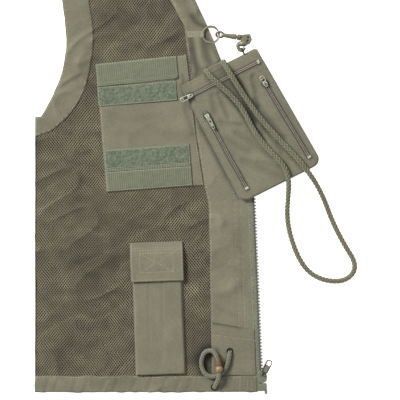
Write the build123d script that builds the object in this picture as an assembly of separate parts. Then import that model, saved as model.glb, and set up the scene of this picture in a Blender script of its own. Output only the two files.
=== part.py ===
"""Fishing vest, folded in half and laid flat with the lining of its left front upwards.

Millimetres, +Z up. While it is built, X runs from the side seam towards the front zip and Y runs
from the hem towards the shoulder. At the end everything moves so that the origin is at the bottom
centre of the vest's box, cords left out.
"""
from build123d import *
import math
import os

# ---- driving dimensions -------------------------------------------------------------------
FABRIC = 0.6            # thickness of the woven shell and of the facings
MESH = 0.4              # thickness of the net lining
LAYER_GAP = 0.1         # air between two layers of cloth
TUCK = 3.0              # how far the folded-under layers stay inside the top layer's outline
BAG = 1.2               # thickness of a flat, empty outer pocket

SIDE_HEIGHT = 344.0     # hem to the bottom of the armhole
HEM = 20.0              # height of the hem band
HEM_RIGHT = 278.5       # front edge at the hem
V_POINT = (264.5, 334.0)      # bottom of the neckline, top of the zip
NECK_POINT = (147.0, 620.0)   # neck end of the shoulder seam
ARM_POINT = (14.0, 597.0)     # arm end of the shoulder seam

TAPE = 25.0             # width of the hook and loop tape
TAPE_THICK = 1.6        # hook or loop tape with its backing
FLAP_LIFT = 0.3         # air under a flap that folds

POCKET_WIDTH = 59.5     # tool pocket
POCKET_TOP = 165.0
POCKET_BOTTOM = 22.5
POCKET_DEPTH = 6.4
POCKET_SLANT = 2.0      # degrees that its bottom stands off to the right

TOOTH_PITCH = 4.0       # zip tooth pitch
TOOTH = (2.6, 2.2, 2.0)

RING_RADIUS = 10.1      # accessory ring, centre of wire
RING_WIRE = 0.9
RING_XY = (220.0, 446.5)

POUCH_XY = (181.8, 382.2)     # top left corner of the pouch
POUCH_TURN = 26.7             # degrees that its top edge climbs
POUCH_TOP_WIDTH = 106.0
POUCH_BOTTOM_WIDTH = 115.0
POUCH_HEIGHT = 165.0
POUCH_THICK = 5.0

NECK_CORD = 5.0         # diameter
DRAWCORD = 4.2          # diameter

# ---- heights of the layers, from the surface that the vest lies on ---------------------------
Z_RIGHT_FACING = 0.0
Z_RIGHT_LINING = Z_RIGHT_FACING + FABRIC + LAYER_GAP
Z_RIGHT_SHELL = Z_RIGHT_LINING + MESH + LAYER_GAP
Z_RIGHT_BAG = Z_RIGHT_SHELL + FABRIC + LAYER_GAP
Z_RIGHT_FLAP = Z_RIGHT_BAG + BAG + LAYER_GAP
Z_BACK = Z_RIGHT_FLAP + FABRIC + LAYER_GAP
Z_BACK_LINING = Z_BACK + FABRIC + LAYER_GAP
BACK_LINING_HEIGHT = 2 * MESH + LAYER_GAP
BACK_HEIGHT = 2 * (FABRIC + LAYER_GAP) + BACK_LINING_HEIGHT
Z_LEFT_FLAP = Z_BACK + BACK_HEIGHT + LAYER_GAP
Z_LEFT_BAG = Z_LEFT_FLAP + FABRIC + LAYER_GAP
Z_LEFT_SHELL = Z_LEFT_BAG + BAG + LAYER_GAP
Z_LEFT_LINING = Z_LEFT_SHELL + FABRIC + LAYER_GAP
Z_FACING = Z_LEFT_LINING + MESH + LAYER_GAP
Z_TOP = Z_FACING + FABRIC                     # the face that the strips and pockets are sewn to
Z_STRIP = Z_TOP + LAYER_GAP
Z_FLAP = Z_TOP + FLAP_LIFT
Z_PATCH = Z_TOP + LAYER_GAP
Z_RING = Z_TOP + 2.0
Z_HOOK = Z_RING
Z_POUCH = Z_TOP + 2.7
Z_FACE = Z_POUCH + POUCH_THICK                # the pouch's front
Z_POUCH_RING = Z_POUCH + 2.1

PARTS = {}


# ---- small helpers ----------------------------------------------------------------------------
def slab(points, bottom, thick):
    """A flat piece of cloth with straight edges."""
    return extrude(Pos(0, 0, bottom) * make_face(Polyline(*points, close=True)), thick)


def curved_slab(edges, bottom, thick):
    """A flat piece of cloth bounded by straight lines and splines."""
    return extrude(Pos(0, 0, bottom) * Face(Wire(edges)), thick)


def block(low, high):
    """A box from its lowest to its highest corner."""
    size = [h - l for l, h in zip(low, high)]
    middle = [(l + h) / 2 for l, h in zip(low, high)]
    return Pos(*middle) * Box(*size)


def tilted(point, degrees):
    """The place of a sub-part whose own X axis climbs by an angle."""
    return Location((point[0], point[1], 0), (0, 0, degrees))


def rod(start, end, radius):
    """A round bar between two points."""
    a, b = Vector(*start), Vector(*end)
    plane = Plane(origin=a, z_dir=(b - a).normalized())
    return extrude(plane * Circle(radius), (b - a).length)


def cord_tube(name, points, diameter):
    """A cord's solid: straight runs joined by arcs as large as the runs allow."""
    route = [Vector(*p) for p in points]
    radii = []
    for before, here, after in zip(route, route[1:], route[2:]):
        into, out = here - before, after - here
        half_turn = math.radians(into.get_angle(out)) / 2
        radii.append(0.45 * min(into.length, out.length) / math.tan(half_turn))
    path = FilletPolyline(*route, radius=radii)
    plane = Plane(origin=route[0], z_dir=(route[1] - route[0]).normalized())
    tube = sweep(plane * Circle(diameter / 2), path=path)
    section = math.pi * diameter ** 2 / 4
    print(name, "radii", [round(r, 1) for r in radii])
    print(name, "length", round(path.length, 1), "volume over section times length",
          round(tube.volume / (section * path.length), 4))
    return tube


# ---- the outlines of the fronts -----------------------------------------------------------------
def armhole_points(tuck):
    """The armhole from the shoulder down to the side seam."""
    points = [ARM_POINT, (24, 545), (36.5, 470), (38.5, 426), (31, 392), (17, 361), (7.5, SIDE_HEIGHT)]
    return [(x + tuck, y) for x, y in points]


def neckline_points(tuck):
    """The neckline from the bottom of the V up to the shoulder."""
    points = [V_POINT, (250, 372), (232, 416), (216, 456), (199, 492), (172, 556), NECK_POINT]
    return [(x - tuck, y) for x, y in points]


def front_panel(tuck, bottom, thick, cut_back=0.0):
    """A whole front: hem, front edge, neckline, shoulder, armhole and side seam."""
    arm = [Vector(*p) for p in armhole_points(tuck)]
    neck = [Vector(*p) for p in neckline_points(tuck + cut_back)]
    hem_right = Vector(HEM_RIGHT - tuck - cut_back, tuck)
    corner = Vector(tuck, SIDE_HEIGHT)
    hem_left = Vector(tuck, tuck)
    arm[0] = arm[0] - Vector(0, tuck)
    neck[-1] = neck[-1] - Vector(0, tuck)
    edges = [
        Line(hem_left, hem_right),
        Line(hem_right, neck[0]),
        Spline(*neck),
        Line(neck[-1], arm[0]),
        Spline(*arm),
        Line(arm[-1], corner),
        Line(corner, hem_left),
    ]
    return curved_slab(edges, bottom, thick)


def armhole_facing(tuck, bottom):
    """The band along the armhole, inside the lining."""
    arm = [Vector(*p) for p in armhole_points(tuck)]
    arm[0] = arm[0] - Vector(0, tuck)
    inner = [(50, 603 - tuck), (58, 545), (69, 480), (73, 442), (69, 405), (58, 369), (36, 339), (18, 325)]
    inner = [Vector(*p) for p in inner]
    side_low = Vector(tuck, 319)
    side_high = Vector(tuck, SIDE_HEIGHT)
    edges = [
        Spline(*arm),
        Line(arm[-1], side_high),
        Line(side_high, side_low),
        Line(side_low, inner[-1]),
        Spline(*reversed(inner)),
        Line(inner[0], arm[0]),
    ]
    return curved_slab(edges, bottom, FABRIC)


FACING_INNER = [(112, 614), (150, 532), (168, 492), (187, 456), (191, 420), (202, 322), (212, 257),
                (217, 236), (219, 144), (221, HEM + 0.4)]


def front_facing(tuck, bottom):
    """The band along the front edge and the neckline."""
    neck = [Vector(*p) for p in neckline_points(tuck)]
    neck[-1] = neck[-1] - Vector(0, tuck)
    inner = [Vector(x, y - (tuck if n == 0 else 0)) for n, (x, y) in enumerate(FACING_INNER)]
    foot = Vector(HEM_RIGHT - tuck - 0.85, HEM + 0.4)
    edges = [Line(inner[-1], foot), Line(foot, neck[0]), Spline(*neck), Line(neck[-1], inner[0])]
    edges += [Line(a, b) for a, b in zip(inner, inner[1:])]
    return curved_slab(edges, bottom, FABRIC)


def hem_band(tuck, bottom):
    """The turned-up hem."""
    points = [(tuck, tuck), (HEM_RIGHT - tuck, tuck), (HEM_RIGHT - tuck - 0.8, HEM), (tuck, HEM)]
    return slab(points, bottom, FABRIC)


# ---- the layers under the left front ----------------------------------------------------------------
def outer_pockets(bag_bottom, flap_bottom):
    """Two flat bellows pockets and their flaps, on the outer side of a front."""
    chest = (78, 238, 100, 118)
    cargo = (36, 44, 172, 150)
    bags = [block((x, y, bag_bottom), (x + w, y + h, bag_bottom + BAG)) for x, y, w, h in (chest, cargo)]
    flaps = []
    for x, y, w, h in (chest, cargo):
        low = (x - 2, y + h - 46, flap_bottom)
        flaps.append(block(low, (x + w + 2, y + h + 6, flap_bottom + FABRIC)))
    return Compound(children=bags), Compound(children=flaps)


def folded_back(bottom, height, wall, tuck):
    """A back layer folded at the centre back: two leaves joined by a fold along the front edge."""
    whole = front_panel(tuck, bottom, height)
    slot = front_panel(tuck, bottom + wall, height - 2 * wall)
    slot = Pos(-wall, 0, 0) * slot
    left_strip = block((-40, -5, bottom + wall), (tuck + 2, 640, bottom + height - wall))
    above = block((-40, 590, bottom + wall), (300, 660, bottom + height - wall))
    return whole - slot - left_strip - above


def zip_side(tuck, middle, first_tooth, name_tape, name_teeth):
    """Zip tape and its teeth along a front edge."""
    lean = math.degrees(math.atan2(HEM_RIGHT - V_POINT[0], V_POINT[1]))
    place = Location((HEM_RIGHT - tuck, 0, middle), (0, 0, lean))
    length = V_POINT[1] - 6
    tape = place * block((-13, 1.5, -0.25), (4.2, length, 0.25))
    teeth = []
    count = int((length - first_tooth - 4) / TOOTH_PITCH)
    for n in range(count):
        y = first_tooth + n * TOOTH_PITCH
        low = (4.3, y, -TOOTH[2] / 2)
        teeth.append(place * block(low, (4.3 + TOOTH[0], y + TOOTH[1], TOOTH[2] / 2)))
    PARTS[name_tape] = tape
    PARTS[name_teeth] = Compound(children=teeth)
    return place


def make_layers():
    """Every layer of cloth, from the table up to the left front's facings."""
    PARTS["right_front_facing"] = front_facing(TUCK, Z_RIGHT_FACING)
    PARTS["right_armhole_facing"] = armhole_facing(TUCK, Z_RIGHT_FACING)
    PARTS["right_hem_band"] = hem_band(TUCK, Z_RIGHT_FACING)
    PARTS["right_front_lining"] = front_panel(TUCK, Z_RIGHT_LINING, MESH, cut_back=16)
    PARTS["right_front_shell"] = front_panel(TUCK, Z_RIGHT_SHELL + 0.25, FABRIC)
    bags, flaps = outer_pockets(Z_RIGHT_BAG + 0.25, Z_RIGHT_FLAP + 0.2)
    PARTS["right_outer_pockets"] = bags
    PARTS["right_outer_flaps"] = flaps
    PARTS["back_shell"] = folded_back(Z_BACK + 0.2, BACK_HEIGHT, FABRIC, TUCK)
    lining_tuck = TUCK + FABRIC + 0.4
    PARTS["back_lining"] = folded_back(Z_BACK_LINING + 0.2, BACK_LINING_HEIGHT, MESH, lining_tuck)
    bags, flaps = outer_pockets(Z_LEFT_BAG + 0.2, Z_LEFT_FLAP + 0.2)
    PARTS["left_outer_pockets"] = bags
    PARTS["left_outer_flaps"] = flaps
    PARTS["left_front_shell"] = front_panel(0, Z_LEFT_SHELL + 0.15, FABRIC)
    PARTS["left_mesh_lining"] = front_panel(2, Z_LEFT_LINING + 0.15, MESH, cut_back=16)
    PARTS["armhole_facing"] = armhole_facing(0, Z_FACING + 0.1)
    PARTS["front_facing"] = front_facing(0, Z_FACING + 0.1)
    PARTS["hem_band"] = hem_band(0, Z_FACING + 0.1)
    zip_side(TUCK, Z_RIGHT_FACING + 1.0, 12, "right_zip_tape", "right_zip_teeth")


# ---- the front zip of the left front --------------------------------------------------------------
def make_front_zip():
    """Tape, teeth, slider, pull tab, retainer box and top stop."""
    middle = Z_LEFT_LINING + 0.35
    place = zip_side(0, middle, 20, "front_zip_tape", "front_zip_teeth")
    centre = 4.3 + TOOTH[0] / 2
    retainer = block((centre - 5.5, 1.0, -1.9), (centre + 6, 10.5, 2.0))
    tape_slot = block((centre - 7, 0, -0.35), (4.3, 11, 0.35))
    PARTS["zip_retainer_box"] = place * (fillet(retainer.edges().filter_by(Axis.Z), 1.2) - tape_slot)
    PARTS["front_zip_top_stop"] = place * block((centre - 2, 323, 0.35), (centre + 1.2, 327, 1.6))
    shell = block((centre - 5.2, 11.2, -2.8), (centre + 7, 26.5, 2.8))
    shell = fillet(shell.edges().filter_by(Axis.Z), 2.6)
    slot = block((centre - 8, 8, -1.35), (centre + TOOTH[0] / 2 + 0.5, 30, 1.35))
    lug_at = (centre + 1.5, 21.5)
    turn = 60.0
    slider = place * (shell - slot)
    pull_place = place * Location((lug_at[0], lug_at[1], 4.3), (0, 0, turn))
    lugs, pull = pull_with_lugs(pull_place, lug_base=-1.6, length=20.0, width=7.2, window=(13.0, 18.4, 4.6))
    PARTS["front_zip_slider"] = slider + lugs
    PARTS["front_zip_pull"] = pull


def pull_with_lugs(place, lug_base, length, width, window=None):
    """Two lugs on a slider and the pull tab that turns between them, its pin along its own Y axis."""
    lugs = []
    for side in (-1, 1):
        lug = block((-1.2, side * 1.75 - 0.55, lug_base), (1.2, side * 1.75 + 0.55, 0.4))
        lug = lug + Pos(0, side * 1.75, 0.3) * Rot(90, 0, 0) * Cylinder(1.2, 1.1)
        lugs.append(lug - Pos(0, side * 1.75, 0.3) * Rot(90, 0, 0) * Cylinder(0.66, 1.4))
    pin = Pos(0, 0, 0.3) * Rot(90, 0, 0) * Cylinder(0.58, 4.5)
    neck = block((0, -1.0, -0.15), (3.2, 1.0, 0.75))
    plate = block((2.6, -width / 2, -0.15), (length, width / 2, 0.75))
    plate = fillet(plate.edges().filter_by(Axis.Z), width * 0.16)
    if window:
        near, far, across = window
        plate = plate - block((near, -across / 2, -1), (far, across / 2, 2))
    pull = place * (pin + neck + plate)
    return place * (lugs[0] + lugs[1]), pull


# ---- what is sewn to the inside of the left front ----------------------------------------------------
def tape_strip(centre, length, degrees, bottom):
    """One strip of hook or loop tape."""
    strip = block((-length / 2, -TAPE / 2, bottom), (length / 2, TAPE / 2, bottom + TAPE_THICK))
    return tilted(centre, degrees) * strip


def make_panel_and_strips():
    """The plain inner panel with its two pairs of hook and loop strips."""
    z = Z_FACING + 0.1
    panel = [(75.5, 409.5), (189.6, 421.5), (190.4, 416), (201.4, 322), (211.2, 258.4), (89.4, 249.5),
             (84.6, 304), (80.6, 355)]
    PARTS["inner_panel"] = slab(panel, z, FABRIC)
    PARTS["upper_loop_strip"] = tape_strip((128, 373.0), 99, 4.6, Z_STRIP + 0.1)
    PARTS["upper_hook_flap"] = tape_strip((127.4, 402.6), 101.5, 5.9, Z_FLAP + 0.1)
    PARTS["lower_loop_strip"] = tape_strip((140.6, 294.0), 107, 4.0, Z_STRIP + 0.1)
    PARTS["lower_hook_flap"] = tape_strip((142.6, 266.6), 107, 4.2, Z_FLAP + 0.1)


def make_tool_pocket():
    """A long tool pocket: back, raised front with an open top, and a flap over the mouth."""
    place = tilted((151.5, 187.5), POCKET_SLANT)
    top, bottom = POCKET_TOP - 187.5, POCKET_BOTTOM - 187.5
    half = POCKET_WIDTH / 2
    base = Z_FACING + 0.1
    back = block((-half - 1.5, bottom - 0.5, base), (half + 1.5, -1.2, base + FABRIC))
    floor = base + FABRIC + LAYER_GAP
    outer = block((-half, bottom, floor), (half, top, floor + POCKET_DEPTH))
    outer = fillet(outer.edges().filter_by(Axis.Z).sort_by(Axis.Y)[:2], 3.0)
    inner = block((-half + 0.8, bottom + 0.8, floor - 1), (half - 0.8, top + 5, floor + POCKET_DEPTH - 0.8))
    PARTS["tool_pocket_back"] = place * back
    PARTS["tool_pocket_front"] = place * (outer - inner)
    over = floor + POCKET_DEPTH + 0.35
    reach = -49.0
    flap_half = 33.0
    hinge_z = base + FABRIC + 0.4
    profile = [(0, hinge_z), (-17.5, over), (reach, over), (reach, over + 1.4), (-18.0, over + 1.4),
               (0, hinge_z + 1.5)]
    outline = Plane.YZ * make_face(Polyline(*profile, close=True))
    PARTS["tool_pocket_flap"] = place * Pos(-flap_half, 0, 0) * extrude(outline, 2 * flap_half)


def make_lower_patch():
    """The patch over the bottom of the front facing, with the drawcord's eyelets."""
    patch = [(221.5, HEM + 1), (222, 87), (264.5, 80), (274.2, 78.8), (276.4, HEM + 1)]
    PARTS["lower_facing_patch"] = slab(patch, Z_PATCH + 0.1, FABRIC)
    rings = []
    for x, y, z in ((224.0, 6.0, Z_TOP + 0.2), (243.6, 51.2, Z_PATCH + FABRIC + 0.2)):
        rings.append(Pos(x, y, z + 0.35) * (Cylinder(4.2, 0.7) - Cylinder(2.3, 2)))
    PARTS["hem_eyelets"] = Compound(children=rings)


# ---- cords -----------------------------------------------------------------------------------------
DRAWCORD_ROUTE = [
    (224.0, 5.4, 11.9), (226.8, 12.2, 16.2), (231.2, 21.0, 19.8), (227.0, 51.5, 18.0), (212.6, 53.2, 15.2),
    (206.4, 37.4, 13.6), (212.0, 21.8, 13.4), (226.0, 18.2, 13.5), (237.8, 27.6, 13.8), (242.2, 40.0, 14.4),
    (243.6, 51.0, 12.6),
]
BEAD_RADIUS = 4.7
BEAD_LENGTH = 7.0
BARREL_RADIUS = 3.5
BARREL_LENGTH = 10.0
BEAD_AT = 8.9           # bead's middle, along the drawcord's third run


def make_drawcord():
    """The hem's drawcord, a loop between two eyelets, with a bead and a barrel that slide on it."""
    PARTS["drawcord"] = cord_tube("drawcord", DRAWCORD_ROUTE, DRAWCORD)
    start, end = Vector(*DRAWCORD_ROUTE[2]), Vector(*DRAWCORD_ROUTE[3])
    along = (end - start).normalized()
    hole = DRAWCORD / 2 + 0.1
    axis = Plane(origin=start + along * BEAD_AT, z_dir=along)
    bead = axis * (Sphere(BEAD_RADIUS) - Cylinder(hole, 12))
    bead = bead & (axis * Cylinder(6, BEAD_LENGTH))
    barrel_at = (BEAD_LENGTH + BARREL_LENGTH) / 2 + 0.3
    barrel = axis * Pos(0, 0, barrel_at) * (Cylinder(BARREL_RADIUS, BARREL_LENGTH) - Cylinder(hole, 12))
    PARTS["drawcord_bead"] = bead
    PARTS["drawcord_barrel"] = barrel


def pouch_point(u, v, z):
    """A point on the pouch: u along its top edge, v down its height."""
    turn = math.radians(POUCH_TURN)
    x = POUCH_XY[0] + u * math.cos(turn) + v * math.sin(turn)
    y = POUCH_XY[1] + u * math.sin(turn) - v * math.cos(turn)
    return (round(x, 1), round(y, 1), round(z, 1))


def neck_cord_route():
    """Out of the pouch's top, down its front, round in a loose loop and back up its front."""
    first = [(60.0, -3.6, -1.0), (60.3, -1.0, 6.4), (61.6, 11.5, 9.3), (63.4, 33.0, 7.0), (66.4, 56.0, 2.9),
             (71.0, 84.0, 2.9), (79.0, 112.0, 2.9), (87.0, 138.0, 2.9), (92.6, 160.0, 3.2)]
    last = [(71.6, 148.0, 3.0), (60.8, 116.0, 2.9), (56.0, 89.0, 2.9), (56.6, 64.0, 2.9), (52.6, 44.0, 4.6),
            (45.0, 25.0, 8.2), (38.8, 9.6, 9.3), (36.9, -1.0, 6.4), (36.6, -3.6, -1.0)]
    loop = [(350.4, 262.0, 15.0), (361.6, 241.0, 7.0), (369.4, 220.0, 2.9), (379.0, 199.0, 2.7),
            (390.8, 178.0, 2.7), (399.6, 164.2, 2.7), (400.6, 152.0, 2.7), (393.0, 142.0, 2.7),
            (379.0, 137.4, 2.7), (358.0, 140.4, 2.7), (339.6, 151.6, 2.7), (326.8, 173.0, 2.7),
            (318.0, 200.0, 2.7), (315.0, 222.0, 4.4), (316.4, 244.0, 12.6), (317.0, 264.0, 19.4)]
    out = [pouch_point(u, v, Z_FACE + h) for u, v, h in first]
    back = [pouch_point(u, v, Z_FACE + h) for u, v, h in last]
    return out + loop + back


# ---- the ring and the snap hook ----------------------------------------------------------------------
def make_ring_and_tab():
    """The webbing tab on the facing and the split ring through its end."""
    x, y = RING_XY
    ring = Pos(x, y, Z_RING) * Torus(RING_RADIUS, RING_WIRE)
    channel = Pos(x, y, Z_RING) * Torus(RING_RADIUS, RING_WIRE + 0.1)
    eye_x = x - RING_RADIUS
    tab_y = y + 0.4
    half = 4.2
    strap = block((eye_x - 20, tab_y - half, Z_TOP + 0.2), (eye_x - 1.0, tab_y + half, Z_TOP + 1.6))
    eye = Pos(eye_x, tab_y, Z_RING) * Rot(90, 0, 0) * Cylinder(1.85, 2 * half)
    PARTS["ring_tab"] = (strap + eye) - channel
    PARTS["accessory_ring"] = ring


HOOK_START = (RING_XY[0] + RING_RADIUS + 5.6, RING_XY[1] - 0.6)
HOOK_LEAN = -8.2
GATE_ANGLES = (22, -20)       # where the gate begins and ends around the hook's loop
LOOP_START = 36               # where the loop's bar begins
LOOP_SWEEP = 290


def make_snap_hook():
    """A swivel snap hook: eye with shaft, body with an open loop, and a sprung gate."""
    place = Location((HOOK_START[0], HOOK_START[1], Z_HOOK), (0, 0, HOOK_LEAN))
    eye_at = -4.4
    eye = Pos(eye_at, 0, 0) * Rot(90, 0, 0) * Torus(3.4, 1.05)
    shaft = rod((-1.6, 0, 0), (16.5, 0, 0), 2.2)
    pin = rod((16.5, 0, 0), (22.5, 0, 0), 1.25)
    PARTS["snap_hook_eye"] = place * (eye + shaft + pin)
    collar = rod((17.0, 0, 0), (20.5, 0, 0), 3.1)
    head = block((20.5, -5.0, -2.6), (33.5, 4.2, 2.6))
    head = fillet(head.edges().filter_by(Axis.Z), 1.8)
    body = place * ((collar + head) - rod((16, 0, 0), (23.0, 0, 0), 1.35))
    loop_at = Vector(*pouch_point(89.0, -9.6, Z_POUCH_RING))
    loop_radius, bar = 4.6, 1.2
    loop_turn = Rot(0, 0, POUCH_TURN + LOOP_START)
    loop = Pos(*loop_at) * loop_turn * Torus(loop_radius, bar, major_angle=LOOP_SWEEP)
    head_foot = (place * Pos(26.0, -4.0, 0)).position
    neck_top = (head_foot.X, head_foot.Y, Z_HOOK + 0.6)
    turn = math.radians(POUCH_TURN + 100)
    neck_foot = loop_at + Vector(math.cos(turn), math.sin(turn), 0) * loop_radius
    neck = rod(neck_top, tuple(neck_foot), 1.7) + Pos(*neck_foot) * Sphere(1.7)
    PARTS["snap_hook_body"] = body + neck + loop
    ends = []
    for angle in GATE_ANGLES:
        a = math.radians(POUCH_TURN + angle)
        ends.append((loop_at.X + loop_radius * math.cos(a), loop_at.Y + loop_radius * math.sin(a), loop_at.Z))
    PARTS["snap_hook_gate"] = rod(ends[0], ends[1], 0.9)
    PARTS["hook_rivets"] = Compound(children=[
        place * Pos(30.5, 1.6, 3.1) * Cylinder(1.2, 0.9),
        place * Pos(30.5, -2.6, 3.1) * Cylinder(1.2, 0.9),
    ])


# ---- the pouch that hangs on the hook -------------------------------------------------------------------
def pouch_place():
    return tilted(POUCH_XY, POUCH_TURN)


def pouch_outline(inset, bottom, thick):
    """The pouch seen from its front, its lower corners rounded."""
    w, b, h = POUCH_TOP_WIDTH, POUCH_BOTTOM_WIDTH, POUCH_HEIGHT
    points = [(inset, -inset), (w - inset, -inset), (b - inset, -h + inset), (inset + 3, -h + inset)]
    face = make_face(Polyline(*points, close=True))
    corners = face.vertices().sort_by(Axis.Y)
    face = fillet(corners[:2], 11)
    face = fillet(face.vertices().sort_by(Axis.Y)[-2:], 4)
    return extrude(Pos(0, 0, bottom) * face, thick)


def make_pouch_body():
    """Back with its sagging belly, front panel, top tab and ring."""
    place = pouch_place()
    back = pouch_outline(0, Z_POUCH, POUCH_THICK - FABRIC - LAYER_GAP)
    belly = slab([(64, -22), (102, -20), (109, -150), (68, -152)], 0.15, Z_POUCH + 0.2)
    belly = fillet(belly.edges().filter_by(Axis.Z), 9)
    belly = chamfer(belly.faces().sort_by(Axis.Z)[0].edges(), 4)
    PARTS["pouch_back"] = place * (back + belly)
    PARTS["pouch_front"] = place * pouch_outline(0.6, Z_FACE - FABRIC, FABRIC)
    tab = block((32, -0.2, Z_POUCH + 0.8), (65, 7.5, Z_FACE + 0.8))
    PARTS["pouch_top_tab"] = place * (tab - block((30, -3, 0), (70, 0.1, 40)))
    ring = Pos(89.0, 3.4, Z_POUCH_RING) * Rot(0, 90, 0) * Torus(4.6, 0.9)
    PARTS["pouch_ring"] = place * ring


def pouch_zip(name, start, end, slider_at, pull_turn, pull_length):
    """One of the pouch's coil zips, with its slider and pull. start and end are (u, v)."""
    run = math.dist(start, end)
    lean = math.degrees(math.atan2(start[1] - end[1], end[0] - start[0]))
    place = pouch_place() * Location((start[0], -start[1], Z_FACE), (0, 0, lean))
    tape = block((-3, -4.2, 0.1), (run + 3, 4.2, 0.5))
    coil = block((0, -1.4, 0.4), (run, 1.4, 1.5))
    coil = chamfer(coil.edges().filter_by(Axis.X).sort_by(Axis.Z)[-2:], 0.5)
    PARTS[name + "_zip"] = place * (tape + coil)
    body = block((slider_at - 4.6, -3.6, 0.85), (slider_at + 4.6, 3.6, 3.3))
    body = fillet(body.edges().filter_by(Axis.Z), 1.6)
    body = body - block((slider_at - 8, -1.75, 0), (slider_at + 8, 1.75, 1.85))
    pull_place = place * Location((slider_at, 0, 4.3), (0, 0, pull_turn))
    lugs, pull = pull_with_lugs(pull_place, lug_base=-1.1, length=pull_length, width=5.2)
    PARTS[name + "_slider"] = place * body + lugs
    PARTS[name + "_pull"] = pull
    return place * block((run - 0.4, -2.4, 0.6), (run + 2.6, 2.4, 1.9)) - PARTS[name + "_zip"]


POUCH_ZIPS = {
    "pouch_top": ((4.0, 17.0), (99.0, 17.0), 1.5, 180.0, 13.0),
    "pouch_left": ((12.6, 44.0), (16.4, 150.0), 6.0, 0.0, 17.0),
    "pouch_right": ((95.0, 40.0), (103.4, 150.0), 6.0, 180.0, 11.0),
}


def make_pouch():
    """The whole pouch with its zips and neck cord."""
    make_pouch_body()
    stops = [pouch_zip(name, *zip_line) for name, zip_line in POUCH_ZIPS.items()]
    PARTS["pouch_zip_stops"] = Compound(children=stops)
    PARTS["neck_cord"] = cord_tube("neck_cord", neck_cord_route(), NECK_CORD)


# ---- everything, moved to the origin and written ------------------------------------------------------
def whole_box(names):
    """The box around the named parts."""
    boxes = [PARTS[n].bounding_box() for n in names]
    low = [min(getattr(b.min, a) for b in boxes) for a in "XYZ"]
    high = [max(getattr(b.max, a) for b in boxes) for a in "XYZ"]
    return low, high


make_layers()
make_front_zip()
make_panel_and_strips()
make_tool_pocket()
make_lower_patch()
make_drawcord()
make_ring_and_tab()
make_snap_hook()
make_pouch()

CORDS = ("neck_cord", "drawcord", "drawcord_bead", "drawcord_barrel")
low, high = whole_box([n for n in PARTS if n not in CORDS])
ORIGIN = ((low[0] + high[0]) / 2, (low[1] + high[1]) / 2, low[2])
print("origin", [round(c, 3) for c in ORIGIN], "size", [round(h - l, 1) for l, h in zip(low, high)])

os.makedirs("parts", exist_ok=True)
for node, shape in PARTS.items():
    moved = shape.moved(Location((-ORIGIN[0], -ORIGIN[1], -ORIGIN[2])))
    export_step(moved, f"parts/{node}.step")
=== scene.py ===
"""The looks of a fishing vest that lies folded, with the lining of its left front upwards.

Named lengths are in millimetres. X runs from the side seam to the front zip, Y from the hem to the
shoulder, and Z up from the surface it lies on. to_frame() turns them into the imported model's metres.
"""
import math

import bmesh
import bpy
import numpy as np
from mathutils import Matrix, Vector, geometry


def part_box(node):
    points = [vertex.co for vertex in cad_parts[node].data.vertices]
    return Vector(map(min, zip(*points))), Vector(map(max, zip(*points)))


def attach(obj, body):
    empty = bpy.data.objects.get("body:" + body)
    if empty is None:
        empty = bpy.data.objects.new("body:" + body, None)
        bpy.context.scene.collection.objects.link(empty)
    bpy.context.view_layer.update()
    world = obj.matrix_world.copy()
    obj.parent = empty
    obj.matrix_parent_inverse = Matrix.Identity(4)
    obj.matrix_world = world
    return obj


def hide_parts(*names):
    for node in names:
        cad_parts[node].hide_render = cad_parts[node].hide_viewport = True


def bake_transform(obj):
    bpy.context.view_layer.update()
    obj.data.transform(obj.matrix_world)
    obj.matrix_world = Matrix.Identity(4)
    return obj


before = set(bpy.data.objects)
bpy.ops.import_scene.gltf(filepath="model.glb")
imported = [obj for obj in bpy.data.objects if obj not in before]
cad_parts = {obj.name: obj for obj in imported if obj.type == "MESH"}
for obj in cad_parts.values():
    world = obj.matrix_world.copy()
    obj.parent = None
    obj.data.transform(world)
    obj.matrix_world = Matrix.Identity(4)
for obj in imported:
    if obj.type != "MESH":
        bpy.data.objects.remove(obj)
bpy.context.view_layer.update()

MM = 0.001
SIDE_X, HEM_Y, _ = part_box("left_front_shell")[0]


def to_frame(x, y, z):
    return (SIDE_X + x * MM, HEM_Y + y * MM, z * MM)


def low_high(node):
    """A node's lowest and highest corner in millimetres."""
    low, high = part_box(node)
    shift = Vector((SIDE_X, HEM_Y, 0))
    return (low - shift) / MM, (high - shift) / MM


def top_of(node):
    """A node's highest level in millimetres."""
    return low_high(node)[1].z


def middle_of(node):
    """The middle of a node's box, as (x, y)."""
    low, high = low_high(node)
    return (low.x + high.x) / 2, (low.y + high.y) / 2


def bottom_of(node):
    """A node's lowest level in millimetres."""
    return low_high(node)[0].z


Z_TOP = top_of("front_facing")            # the face that strips and pockets are sewn to
FABRIC = 0.6                              # thickness of the cloth, and of the lining
MESH = 0.4

# ---- driving dimensions of the looks ----
NET_PITCH = (3.3, 4.4)        # the net's diamonds, across and up
NET_STRAND = 0.76             # width of its strands
KNOT_RISE = 0.12              # how far its knots stand up and its holes' corners sink
RIB_PITCH = 2.6               # the ribs across the hook tape
STITCH_PITCH = 3.2            # the topstitching
STITCH_LENGTH = 2.3
STITCH_WIDTH = 0.66
PUCKER_PITCH = 1.15           # the small waves of cloth along a seam, over 2 pi
ZIP_FOOT = (278.5, 0.0)       # front edge at the hem
ZIP_HEAD = (264.5, 334.0)     # bottom of the neckline
ZIP_LEAN = math.atan2(ZIP_FOOT[0] - ZIP_HEAD[0], ZIP_HEAD[1])
POCKET_AT = (151.5, 187.5)    # middle of the tool pocket flap's hinge
POCKET_SLANT = 2.0
POUCH_AT = (181.8, 382.2)     # the pouch's top left corner
POUCH_TURN = 26.7
POUCH_FACE = top_of("pouch_front")
POUCH_BACK = POUCH_FACE - 5.0
NECK_CORD = 5.0               # the cords' diameters
DRAWCORD = 4.2
CORD_FLUFF = 1.28             # how far the soft strands stand out past the cord
HIDDEN_STEP = 9.0             # between the points of a cloth that is hardly seen
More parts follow.
